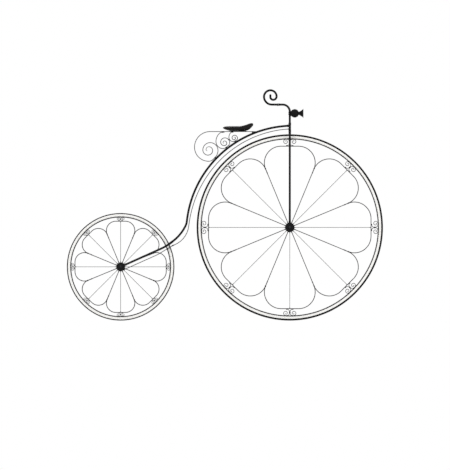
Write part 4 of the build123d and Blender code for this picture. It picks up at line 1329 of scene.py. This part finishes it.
def swell(obj, pad):
    """Blows the leather up a little with a cloth simulation and keeps the result on the mesh."""
    scene, rest = bpy.context.scene, [v.co.copy() for v in obj.data.vertices]
    cloth = obj.modifiers.new("swell", "CLOTH")
    for key, value in CLOTH.items():
        setattr(cloth.settings, key, value)
    cloth.settings.uniform_pressure_force = pad.pressure
    cloth.settings.effector_weights.gravity = 0.0
    cloth.point_cache.frame_start = 1
    cloth.point_cache.frame_end = pad.steps
    for step in range(1, pad.steps + 1):
        scene.frame_set(step)
    swollen = obj.evaluated_get(bpy.context.evaluated_depsgraph_get())
    moved = [v.co.copy() for v in swollen.to_mesh().vertices]
    swollen.to_mesh_clear()
    obj.modifiers.remove(cloth)
    scene.frame_set(1)
    for vertex, start, end in zip(obj.data.vertices, rest, moved):
        push = end - start
        if push.length > pad.swell:
            push = push.normalized() * pad.swell
        vertex.co = start + push


def apply_modifier(obj, kind, **settings):
    """Adds a modifier, applies it and leaves nothing of it on the object."""
    modifier = obj.modifiers.new(kind.lower(), kind)
    for key, value in settings.items():
        setattr(modifier, key, value)
    graph = bpy.context.evaluated_depsgraph_get()
    mesh = bpy.data.meshes.new_from_object(obj.evaluated_get(graph))
    obj.modifiers.remove(modifier)
    old = obj.data
    obj.data = mesh
    bpy.data.meshes.remove(old)


def draw_out(obj, low, high):
    """Stretches the leather lengthwise and sideways until it reaches its node's box."""
    for axis in (0, 1):
        places = [v.co[axis] for v in obj.data.vertices]
        least, most = min(places), max(places)
        for vertex in obj.data.vertices:
            along_it = (vertex.co[axis] - least) / (most - least)
            vertex.co[axis] = low[axis] + along_it * (high[axis] - low[axis])


def build_saddle(pad):
    """Leather saddle: a swollen pad with its seams and rivets."""
    shell = skin([saddle_ring(x, pad.inset) for x in along_saddle(pad.inset, SADDLE_STATIONS)])
    mesh = bpy.data.meshes.new("saddle_leather_pad")
    mesh.from_pydata([TO_ROW @ p for p in shell.points], [], shell.faces)
    obj = new_object("saddle_leather_pad", mesh)
    apply_modifier(obj, "REMESH", mode="VOXEL", voxel_size=pad.voxel)
    swell(obj, pad)
    floor_z = SADDLE_FLOOR + TO_ROW.translation.z
    for vertex in obj.data.vertices:
        vertex.co.z = max(vertex.co.z, floor_z)
    apply_modifier(obj, "SMOOTH", factor=0.5, iterations=2)
    draw_out(obj, *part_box("saddle"))
    apply_modifier(obj, "SUBSURF", levels=1, render_levels=1)
    obj.data.shade_smooth()
    obj.data.name = "saddle_leather_pad"
    dress(obj, "saddle_leather", "frame", "saddle")
    build_saddle_seams(obj, pad)


def round_saddle(inset, place):
    """Loop of places round the saddle, each from its x and its side."""
    row = along_saddle(inset, SEAM_STATIONS)
    return [place(x, 1) for x in row] + [place(x, -1) for x in reversed(row)]


def cord_round(obj, height, radius):
    """Cord laid round the saddle's side, `height` of the way up."""
    def edge(x, side):
        """Place on the saddle's side."""
        top, under = on_line(SADDLE_TOP_LINE, x), on_line(SADDLE_UNDER_LINE, x)
        return Vector((x, side * on_line(SADDLE_HALF_WIDTHS, x), under + (top - under) * height))

    snug = []
    for point in round_saddle(0.001, edge):
        _, place, normal, _ = obj.closest_point_on_mesh(TO_ROW @ point)
        snug.append(TO_ROW.inverted() @ place + normal * SEAM_LIFT)
    return closed_tube(even_loop(snug, CORD_STEP), radius)


def dropped(obj, points):
    """Places and normals where points above the leather meet it as they fall."""
    for point in points:
        hit, place, normal, _ = obj.ray_cast(TO_ROW @ point, Vector((0.0, 0.0, -1.0)))
        if hit:
            yield TO_ROW.inverted() @ place, normal.copy()


def build_saddle_seams(obj, pad):
    """Welt round the upper edge, a thinner hem below, stitches inside the welt, and rivets."""
    cords = cord_round(obj, SEAM_HEIGHT, pad.welt_r)
    cords.add(cord_round(obj, HEM_HEIGHT, pad.welt_r * HEM_THIN))
    make_piece("saddle_welt", cords, "frame", finish="edge_leather")

    def above(x, side):
        """Place above the saddle where a stitch falls."""
        wide = max(0.0, on_line(SADDLE_HALF_WIDTHS, x) - STITCH_INWARD)
        return Vector((x, side * wide, on_line(SADDLE_TOP_LINE, x) + 0.01))

    loop = even_loop(round_saddle(STITCH_INWARD, above), pad.stitch * STITCH_PITCH)
    places, stitches = list(dropped(obj, loop)), Part()
    for k, (place, normal) in enumerate(places):
        ahead = places[(k + 1) % len(places)][0] - places[k - 1][0]
        stitches.add(stitch(pad.stitch), facing(place, ahead, normal))
    make_piece("saddle_stitches", stitches, "frame", finish="saddle_thread")
    starts = [Vector((x, y, SADDLE_TOP_LINE[-2][1] + 0.02)) for x, y in SADDLE_RIVETS]
    rivets = Part()
    for place, normal in dropped(obj, starts):
        rivets.add(rivet(*LEATHER_RIVET), along(place, normal))
    make_piece("saddle_rivets", rivets, "frame", finish="blued_steel")


def even_loop(points, step):
    """Points spaced evenly round a closed line."""
    loop = points + points[:1]
    lengths = [(b - a).length for a, b in zip(loop, loop[1:])]
    total = sum(lengths)
    count = round(total / step)
    even, walked, k = [], 0.0, 0
    for i in range(count):
        goal = total * i / count
        while k < len(points) - 1 and walked + lengths[k] < goal:
            walked += lengths[k]
            k += 1
        share_on = (goal - walked) / lengths[k] if lengths[k] else 0.0
        even.append(loop[k].lerp(loop[k + 1], share_on))
    return even


def closed_tube(points, radius):
    """Round cord round a closed line."""
    up = Vector((0.0, 0.0, 1.0))
    rings = []
    for k, point in enumerate(points):
        head = (points[(k + 1) % len(points)] - points[k - 1]).normalized()
        across = (up - head * up.dot(head)).normalized()
        rings.append(round_ring(point, across, head.cross(across), radius, CORD_SIDES, 0.6))
    return skin(rings, loop=True)


def facing(place, ahead, normal):
    """Matrix that puts x along `ahead` and z along `normal` at a place."""
    z_axis = normal.normalized()
    x_axis = (ahead - z_axis * ahead.dot(z_axis)).normalized()
    turn = Matrix((x_axis, z_axis.cross(x_axis), z_axis)).transposed().to_4x4()
    return at(*place) @ turn


def stitch(size):
    """One raised stitch of thick thread."""
    rings = []
    for k in range(STITCH_STEPS + 1):
        swelling = sin(pi * k / STITCH_STEPS)
        centre = Vector(((k / STITCH_STEPS - 0.5) * size, 0.0, THREAD_LIFT * (swelling - 1)))
        rings.append(round_ring(centre, Vector((0.0, 1.0, 0.0)), Vector((0.0, 0.0, 1.0)),
                                THREAD_R * (0.35 + 0.65 * swelling), 8, 0.5))
    return skin(rings)


def build_saddle_plate(fittings):
    """Iron plate under the leather with bolts to the top leaf."""
    low, high, half = node_box("saddle_plate")
    size, middle = high - low, (low + high) / 2
    flat = at(*middle) @ Matrix.Rotation(pi / 2, 4, "X")
    piece = block((size.x, size.z, size.y), square=8.0, sides=28).moved(flat)
    bolt = rivet(fittings.bolt_r, 0.0012)
    far_x, far_y = PLATE_BOLTS
    for dx, dy in ((-far_x, -far_y), (-far_x, far_y), (far_x, -far_y), (far_x, far_y)):
        piece.add(bolt, at(middle.x + dx, dy, middle.z - half.z) @ UPSIDE_DOWN)
    make_piece("saddle_iron_plate", piece, "frame", "saddle_plate", "forged_iron")


# Shader node groups ---------------------------------------
VALUE, COLOUR = "NodeSocketFloat", "NodeSocketColor"


def add_node(tree, kind, inputs=None, **settings):
    """Shader node of a kind, with its settings and with values or sockets for its inputs."""
    made = tree.nodes.new("ShaderNode" + kind)
    for key, value in settings.items():
        setattr(made, key, value)
    for key, value in (inputs or {}).items():
        if isinstance(value, bpy.types.NodeSocket):
            tree.links.new(value, made.inputs[key])
        else:
            made.inputs[key].default_value = value
    return made


def calculated(tree, operation, one, other):
    """Result of a sum, product or the like of two sockets or values."""
    return add_node(tree, "Math", {0: one, 1: other}, operation=operation).outputs[0]


def spread(tree, value, **ends):
    """Value stretched from one range to another; from_min sets the node's From Min and so on."""
    ends = {key.replace("_", " ").title(): end for key, end in ends.items()}
    return add_node(tree, "MapRange", {"Value": value, **ends}).outputs["Result"]


def blended(tree, share_of_other, one, other):
    """Colour between one and the other, each a colour or a socket."""
    return add_node(tree, "Mix", {0: share_of_other, 6: one, 7: other},
                    data_type="RGBA").outputs[2]


def mottle(tree, place, given):
    """Two colours that drift into each other in soft patches, and the patches as a value."""
    noise = add_node(tree, "TexNoise", {"Vector": place, "Scale": given["Scale"], "Detail": 6.0,
                                        "Roughness": 0.6})
    patches = spread(tree, noise.outputs["Fac"], from_min=given["Low"], from_max=given["High"])
    return {"Colour": blended(tree, patches, given["Dark"], given["Light"]), "Patches": patches}


def edge_wear(tree, place, given):
    """Mask of the edges and raised places where a finish has rubbed thin."""
    worn = add_node(tree, "Attribute", attribute_name="worn").outputs["Fac"]
    noise = add_node(tree, "TexNoise", {"Vector": place, "Scale": given["Scale"], "Detail": 5.0})
    broken = calculated(tree, "MULTIPLY", worn, noise.outputs["Fac"])
    shown = spread(tree, broken, from_min=0.30, from_max=0.62)
    return {"Mask": calculated(tree, "MULTIPLY", shown, given["Amount"])}


def hammer_marks(tree, place, given):
    """Height of shallow hammer marks with a fine scale between them."""
    marks = add_node(tree, "TexVoronoi", {"Vector": place, "Scale": given["Scale"],
                                          "Smoothness": 0.8}, feature="SMOOTH_F1")
    scale = add_node(tree, "TexNoise", {"Vector": place, "Scale": 900.0, "Detail": 4.0})
    fine = calculated(tree, "MULTIPLY", scale.outputs["Fac"], given["Fine"])
    return {"Height": calculated(tree, "ADD", marks.outputs["Distance"], fine)}


def pebble_grain(tree, place, given):
    """Height of a pebbled grain, as on leather and moulded rubber, and the grain's valleys as a
    mask for painted shade.
    """
    bend = add_node(tree, "TexNoise", {"Vector": place, "Scale": given["Wrinkle Scale"],
                                       "Detail": 4.0})
    cells = add_node(tree, "TexVoronoi", {"Vector": place, "Scale": given["Scale"]},
                     feature="DISTANCE_TO_EDGE")
    pebble = spread(tree, cells.outputs["Distance"], from_max=0.35)
    return {"Height": calculated(tree, "ADD", pebble, bend.outputs["Fac"]), "Creases": pebble}


NODE_GROUPS = {
    # name: how it is filled, its inputs and their defaults, its outputs
    "Mottle": (mottle, {"Dark": (0, 0, 0, 1), "Light": (1, 1, 1, 1), "Scale": 30.0, "Low": 0.35,
                        "High": 0.65}, ("Colour", "Patches")),
    "Edge Wear": (edge_wear, {"Amount": 0.4, "Scale": 90.0}, ("Mask",)),
    "Hammer Marks": (hammer_marks, {"Scale": 120.0, "Fine": 0.25}, ("Height",)),
    "Pebble Grain": (pebble_grain, {"Scale": 700.0, "Wrinkle Scale": 60.0},
                     ("Height", "Creases")),
}


def node_group(name):
    """Shader node group by name, made the first time it is asked for."""
    if name in bpy.data.node_groups:
        return bpy.data.node_groups[name]
    fill, inputs, outputs = NODE_GROUPS[name]
    tree = bpy.data.node_groups.new(name, "ShaderNodeTree")
    for label, default in inputs.items():
        kind = VALUE if isinstance(default, float) else COLOUR
        taken = tree.interface.new_socket(name=label, in_out="INPUT", socket_type=kind)
        taken.default_value = default
    for label in outputs:
        kind = COLOUR if label == "Colour" else VALUE
        tree.interface.new_socket(name=label, in_out="OUTPUT", socket_type=kind)
    given = tree.nodes.new("NodeGroupInput").outputs
    place = add_node(tree, "TexCoord").outputs["Object"]
    result = tree.nodes.new("NodeGroupOutput")
    for label, source in fill(tree, place, given).items():
        tree.links.new(source, result.inputs[label])
    return tree


def group_node(tree, name, *values):
    """Group placed in a tree, with values for its first inputs in their order."""
    return add_node(tree, "Group", dict(enumerate(values)), node_tree=node_group(name))


# Materials ------------------------------------------------
def rgba(colour, factor=1.0):
    """Opaque colour times a factor, or times one for each channel."""
    factors = factor if isinstance(factor, tuple) else (factor,) * 3
    return (*(c * f for c, f in zip(colour, factors)), 1.0)


def finish_row(name, colours):
    """A finish: its colour, that colour's factors in dark and light patches, and its details.

    patches: their scale, and the noise values where they start and end if not the group's own
    rough: least and most roughness; worn: amount, scale and colour of rubbed edges
    relief: group, its first and second input, and the relief's depth in metres
    """
    rubber, leather = colours.rubber, colours.leather
    black = dict(colour=colours.enamel, tones=(0.75, 1.25),
                 worn=(colours.wear, 90.0, colours.iron), shader={"Specular IOR Level": 0.08})
    rows = {
        # stove enamel on the tubes and lugs, with a thin gloss
        "black_enamel": black | dict(
            patches=(24.0,), rough=(0.24, 0.34), relief=("Hammer Marks", 260.0, 0.35, 0.00006),
            shader={"Specular IOR Level": 0.08, "Coat Weight": 0.02, "Coat Roughness": 0.18}),
        # black finish on hand-forged bars
        "forged_iron": black | dict(
            patches=(40.0,), rough=(0.40, 0.58), worn=(colours.wear * 1.3, 90.0, colours.iron),
            relief=("Hammer Marks", 150.0, 0.30, 0.00035)),
        # greyer enamel on the hubs and fork ends
        "charcoal_enamel": black | dict(
            tones=(1.9 * 0.75, 1.9 * 1.25), patches=(30.0,), rough=(0.36, 0.50),
            relief=("Hammer Marks", 300.0, 0.40, 0.00008)),
        # off-white enamel with faint ivory patches and grey edges
        "rim_enamel": dict(
            colour=colours.rim, tones=((0.975, 0.97, 0.95), 1.0), patches=(9.0,),
            rough=(0.30, 0.40), worn=(0.15, 140.0, (0.42, 0.40, 0.37)),
            relief=("Hammer Marks", 220.0, 0.3, 0.00002)),
        # dull rubber with a grey bloom and a scuffed crown
        "tyre_rubber": dict(
            colour=rubber, tones=(0.8, 1.7), patches=(16.0,), rough=(0.66, 0.82),
            worn=(0.6, 60.0, (0.034, 0.033, 0.031)),
            relief=("Pebble Grain", 900.0, 180.0, 0.00012), shader={"Specular IOR Level": 0.06}),
        # moulded rubber of the horn's bulb
        "horn_rubber": dict(
            colour=rubber, tones=(0.8, 1.35), patches=(45.0,), rough=(0.46, 0.60),
            relief=("Pebble Grain", 1400.0, 120.0, 0.00005), shader={"Specular IOR Level": 0.06}),
        # waxed black leather with browner worn places, and painted shade that darkens the valleys
        # of its grain
        "saddle_leather": dict(
            colour=leather, tones=(1.0, (2.2, 1.8, 1.5)), patches=(22.0, 0.45, 0.85),
            rough=(0.40, 0.56), crease_shade=0.45, relief=("Pebble Grain", 620.0, 70.0, 0.00030),
            shader={"Specular IOR Level": 0.12}),
        # burnished black leather of the welt and the hem
        "edge_leather": dict(
            colour=leather, tones=(0.25, 0.5), patches=(60.0,), rough=(0.28, 0.40),
            relief=("Pebble Grain", 900.0, 140.0, 0.00010), shader={"Specular IOR Level": 0.10}),
        # waxed linen thread
        "saddle_thread": dict(
            colour=colours.thread, tones=(0.6, 1.4), patches=(900.0,), rough=(0.6, 0.8)),
        # oiled blued steel with fine turning marks
        "blued_steel": dict(
            colour=colours.steel, tones=(0.7, 1.3), patches=(60.0,), rough=(0.26, 0.42),
            worn=(0.5, 200.0, (0.085, 0.085, 0.088)),
            relief=("Hammer Marks", 600.0, 0.5, 0.00003), shader={"Metallic": 1.0}),
    }
    return SimpleNamespace(**{"worn": None, "relief": None, "crease_shade": None, "shader": {},
                              **rows[name]})


def material(name):
    """Finish by name, made the first time it is asked for."""
    title = name + "_finish"
    if title in bpy.data.materials:
        return bpy.data.materials[title]
    row = finish_row(name, bpy.context.scene.penny_finishes)
    made = bpy.data.materials.new(title)
    made.use_nodes = True
    tree = made.node_tree
    shader = tree.nodes["Principled BSDF"]
    dark, light = (rgba(row.colour, tone) for tone in row.tones)
    patches = group_node(tree, "Mottle", dark, light, *row.patches)
    colour = patches.outputs["Colour"]
    if row.worn:
        amount, scale, bare = row.worn
        mask = group_node(tree, "Edge Wear", amount, scale)
        colour = blended(tree, mask.outputs["Mask"], colour, rgba(bare))
    if row.relief:
        group, scale, second, depth = row.relief
        relief = group_node(tree, group, scale, second)
        # painted shade: the grain's valleys are darkened in the colour itself
        if row.crease_shade:
            deep = rgba(row.colour, row.crease_shade)
            colour = blended(tree, relief.outputs["Creases"], deep, colour)
        bump = add_node(tree, "Bump", {"Strength": 1.0, "Distance": depth,
                                       "Height": relief.outputs["Height"]})
        tree.links.new(bump.outputs["Normal"], shader.inputs["Normal"])
    low, high = row.rough
    rough = spread(tree, patches.outputs["Patches"], to_min=low, to_max=high)
    tree.links.new(rough, shader.inputs["Roughness"])
    tree.links.new(colour, shader.inputs["Base Color"])
    for key, value in row.shader.items():
        shader.inputs[key].default_value = value
    return made


# Stage ----------------------------------------------------
FLOOR_DROP = 0.0002          # the floor lies this far below the tyres
FLOOR_GLOW = 0.35            # share of plain white in the floor under the bicycle
FLOOR_FADE = (1.6, 4.5)      # metres from the middle over which the floor turns plain white
WHITE = (1, 1, 1, 1)
LAMPS = [
    # name, place from the bicycle's middle, width, height, power in watts
    ("key_lamp", (-2.4, -4.2, 3.0), 2.2, 1.8, 110.0),
    ("fill_lamp", (3.4, -3.2, 1.6), 2.6, 2.6, 46.0),
    ("back_lamp", (0.6, 4.0, 3.2), 3.4, 2.0, 60.0),
]


def seen_rays(tree):
    """Socket that is 1 for rays that show the room itself: straight, mirrored or through glass."""
    rays = add_node(tree, "LightPath").outputs
    first = calculated(tree, "MAXIMUM", rays["Is Camera Ray"], rays["Is Glossy Ray"])
    return calculated(tree, "MAXIMUM", first, rays["Is Transmission Ray"])


def cleared(made):
    """Empty node tree of a world or a material."""
    made.use_nodes = True
    made.node_tree.nodes.clear()
    return made.node_tree


def put_out(tree, kind, lit, plain, share_of_plain):
    """Ends a tree with a mix of a lit and a plain shader."""
    mix = add_node(tree, "MixShader", {0: share_of_plain, 1: lit.outputs[0], 2: plain.outputs[0]})
    add_node(tree, kind, {"Surface": mix.outputs[0]})


def build_world(stage):
    """White room: plain white where it is seen, softer where it only lights the bicycle."""
    world = bpy.data.worlds.new("white_room")
    tree = cleared(world)
    light = add_node(tree, "Background", {"Color": WHITE, "Strength": stage.ambient})
    plain = add_node(tree, "Background", {"Color": WHITE, "Strength": 1.0})
    put_out(tree, "OutputWorld", light, plain, seen_rays(tree))
    bpy.context.scene.world = world


def build_floor(stage):
    """Pale floor that nearly melts into the white room but keeps the bicycle's shadow."""
    made = bpy.data.materials.new("pale_floor")
    tree = cleared(made)
    patches = group_node(tree, "Mottle", rgba(stage.floor, 0.985), rgba(stage.floor), 0.8)
    matt = add_node(tree, "BsdfDiffuse", {"Color": patches.outputs["Colour"]})
    glow = add_node(tree, "Emission", {"Color": WHITE, "Strength": 1.0})
    place = add_node(tree, "TexCoord").outputs["Object"]
    away = add_node(tree, "VectorMath", {0: place}, operation="LENGTH").outputs["Value"]
    near, far = FLOOR_FADE
    fade = add_node(tree, "MapRange", {"Value": away, "From Min": near, "From Max": far,
                                       "To Min": FLOOR_GLOW, "To Max": 1.0},
                    interpolation_type="SMOOTHSTEP")
    amount = calculated(tree, "MULTIPLY", seen_rays(tree), fade.outputs["Result"])
    put_out(tree, "OutputMaterial", matt, glow, amount)
    mesh = bpy.data.meshes.new("floor")
    half, level = stage.floor_size / 2, TO_ROW.translation.z - FLOOR_DROP
    corners = ((-half, -half), (half, -half), (half, half), (-half, half))
    mesh.from_pydata([(x, y, level) for x, y in corners], [], [(0, 1, 2, 3)])
    mesh.materials.append(made)
    new_object("floor", mesh)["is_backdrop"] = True


def build_lamps():
    """Three broad soft lamps."""
    middle = (CAD_BOX[0] + CAD_BOX[1]) / 2
    for name, place, width, height, power in LAMPS:
        lamp = bpy.data.lights.new(name, "AREA")
        lamp.shape = "RECTANGLE"
        lamp.size, lamp.size_y, lamp.energy = width, height, power
        obj = new_object(name, lamp)
        obj.location = middle + Vector(place)
        obj.rotation_euler = (-Vector(place)).to_track_quat("-Z", "Y").to_euler()


def build_camera(stage):
    """Level camera square to the bicycle's right side, without perspective."""
    camera = bpy.data.cameras.new("side_view")
    camera.type = "ORTHO"
    camera.ortho_scale = stage.view_height
    camera.clip_end = 100.0
    obj = new_object("side_view", camera)
    obj.location = TO_ROW @ Vector((stage.view_x, -stage.distance, stage.view_z))
    obj.rotation_euler = (pi / 2, 0.0, 0.0)
    bpy.context.scene.camera = obj


# Operators ------------------------------------------------
class PENNY_OT_stage(bpy.types.Operator):
    """Set up the camera, the lamps, the white room and the pale floor"""

    bl_idname = "penny.stage"
    bl_label = "Stage"

    def execute(self, context):
        stage = context.scene.penny_stage
        build_camera(stage)
        build_world(stage)
        build_floor(stage)
        build_lamps()
        context.scene.view_settings.view_transform = "Standard"
        return {"FINISHED"}


class PENNY_OT_tyres(bpy.types.Operator):
    """Build both solid rubber tyres"""

    bl_idname = "penny.tyres"
    bl_label = "Tyres"

    def execute(self, context):
        for wheel in both_wheels(context):
            build_tyre(wheel)
        return {"FINISHED"}


class PENNY_OT_rims(bpy.types.Operator):
    """Build both rims and the iron hoops inside them"""

    bl_idname = "penny.rims"
    bl_label = "Rims and hoops"

    def execute(self, context):
        for wheel in both_wheels(context):
            build_rim(wheel)
        return {"FINISHED"}


class PENNY_OT_petals(bpy.types.Operator):
    """Build both wheels' petal rings and the scrolls that hold them to the hoops"""

    bl_idname = "penny.petals"
    bl_label = "Petals and scrolls"

    def execute(self, context):
        for wheel in both_wheels(context):
            build_petals(wheel, context.scene.penny_wheels)
            build_wheel_scrolls(wheel, context.scene.penny_wheels)
        return {"FINISHED"}


class PENNY_OT_spokes(bpy.types.Operator):
    """Build both wheels' spokes"""

    bl_idname = "penny.spokes"
    bl_label = "Spokes"

    def execute(self, context):
        for wheel in both_wheels(context):
            build_spokes(wheel, context.scene.penny_wheels)
        return {"FINISHED"}


class PENNY_OT_hubs(bpy.types.Operator):
    """Build both hubs and the front axle's ends"""

    bl_idname = "penny.hubs"
    bl_label = "Hubs"

    def execute(self, context):
        front, rear = both_wheels(context)
        build_hub(front)
        build_hub(rear)
        build_front_axle(front)
        return {"FINISHED"}


class PENNY_OT_fork(bpy.types.Operator):
    """Build the front fork and its crown"""

    bl_idname = "penny.fork"
    bl_label = "Front fork"

    def execute(self, context):
        build_fork(both_wheels(context)[0], context.scene.penny_frame)
        return {"FINISHED"}


class PENNY_OT_handlebar(bpy.types.Operator):
    """Build the stem and the scrolled handlebar"""

    bl_idname = "penny.handlebar"
    bl_label = "Stem and handlebar"

    def execute(self, context):
        build_column()
        build_handlebar(context.scene.penny_frame)
        return {"FINISHED"}


class PENNY_OT_horn(bpy.types.Operator):
    """Build the bulb horn"""

    bl_idname = "penny.horn"
    bl_label = "Horn"

    def execute(self, context):
        build_horn(context.scene.penny_frame)
        return {"FINISHED"}


class PENNY_OT_backbone(bpy.types.Operator):
    """Build the head, the backbone and the lower rail"""

    bl_idname = "penny.backbone"
    bl_label = "Backbone"

    def execute(self, context):
        build_backbone(context.scene.penny_frame)
        return {"FINISHED"}


class PENNY_OT_rear_fork(bpy.types.Operator):
    """Build the rear fork, its axle, bridge and stays"""

    bl_idname = "penny.rear_fork"
    bl_label = "Rear fork"

    def execute(self, context):
        build_rear_fork(context.scene.penny_frame)
        return {"FINISHED"}


class PENNY_OT_spring(bpy.types.Operator):
    """Build the scrolled saddle spring"""

    bl_idname = "penny.spring"
    bl_label = "Saddle spring"

    def execute(self, context):
        build_spring(context.scene.penny_frame)
        return {"FINISHED"}


class PENNY_OT_saddle(bpy.types.Operator):
    """Build the leather saddle, its seams and its plate"""

    bl_idname = "penny.saddle"
    bl_label = "Saddle"

    def execute(self, context):
        build_saddle(context.scene.penny_saddle)
        build_saddle_plate(context.scene.penny_frame)
        return {"FINISHED"}


OPERATORS = (
    PENNY_OT_stage, PENNY_OT_tyres, PENNY_OT_rims, PENNY_OT_petals, PENNY_OT_spokes, PENNY_OT_hubs,
    PENNY_OT_fork, PENNY_OT_handlebar, PENNY_OT_horn, PENNY_OT_backbone, PENNY_OT_rear_fork,
    PENNY_OT_spring, PENNY_OT_saddle,
)
GROUPS = {
    "penny_wheels": PennyWheels,
    "penny_frame": PennyFrame,
    "penny_saddle": PennySaddle,
    "penny_finishes": PennyFinishes,
    "penny_stage": PennyStage,
}


class PENNY_PT_panel(bpy.types.Panel):
    """Buttons that build the bicycle piece by piece"""

    bl_idname = "PENNY_PT_panel"
    bl_label = "Penny farthing"
    bl_space_type = "VIEW_3D"
    bl_region_type = "UI"
    bl_category = "Penny"

    def draw(self, context):
        for operator in OPERATORS:
            self.layout.operator(operator.bl_idname)
        for name, group in GROUPS.items():
            box = self.layout.box()
            for key in group.__annotations__:
                box.prop(getattr(context.scene, name), key)


def register():
    """Registers the classes and hangs their settings on the scene."""
    for made in (*GROUPS.values(), *OPERATORS, PENNY_PT_panel):
        bpy.utils.register_class(made)
    for name, group in GROUPS.items():
        setattr(bpy.types.Scene, name, PointerProperty(type=group))


def unregister():
    """Takes everything away again."""
    for name in GROUPS:
        delattr(bpy.types.Scene, name)
    for made in reversed((*GROUPS.values(), *OPERATORS, PENNY_PT_panel)):
        bpy.utils.unregister_class(made)


def write_sizes():
    """Works out the CAD model's box and the visual model's box, and keeps neither."""
    boxes = {"cad": CAD_BOX, "visual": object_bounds()}
    {name: [list(corner) for corner in box] for name, box in boxes.items()}


def main():
    """Builds the stage and every piece in order."""
    register()
    bpy.ops.penny.stage()
    bpy.ops.penny.tyres()
    bpy.ops.penny.rims()
    bpy.ops.penny.petals()
    bpy.ops.penny.spokes()
    bpy.ops.penny.hubs()
    bpy.ops.penny.fork()
    bpy.ops.penny.handlebar()
    bpy.ops.penny.horn()
    bpy.ops.penny.backbone()
    bpy.ops.penny.rear_fork()
    bpy.ops.penny.spring()
    bpy.ops.penny.saddle()
    write_sizes()


if __name__ == "__main__":
    main()
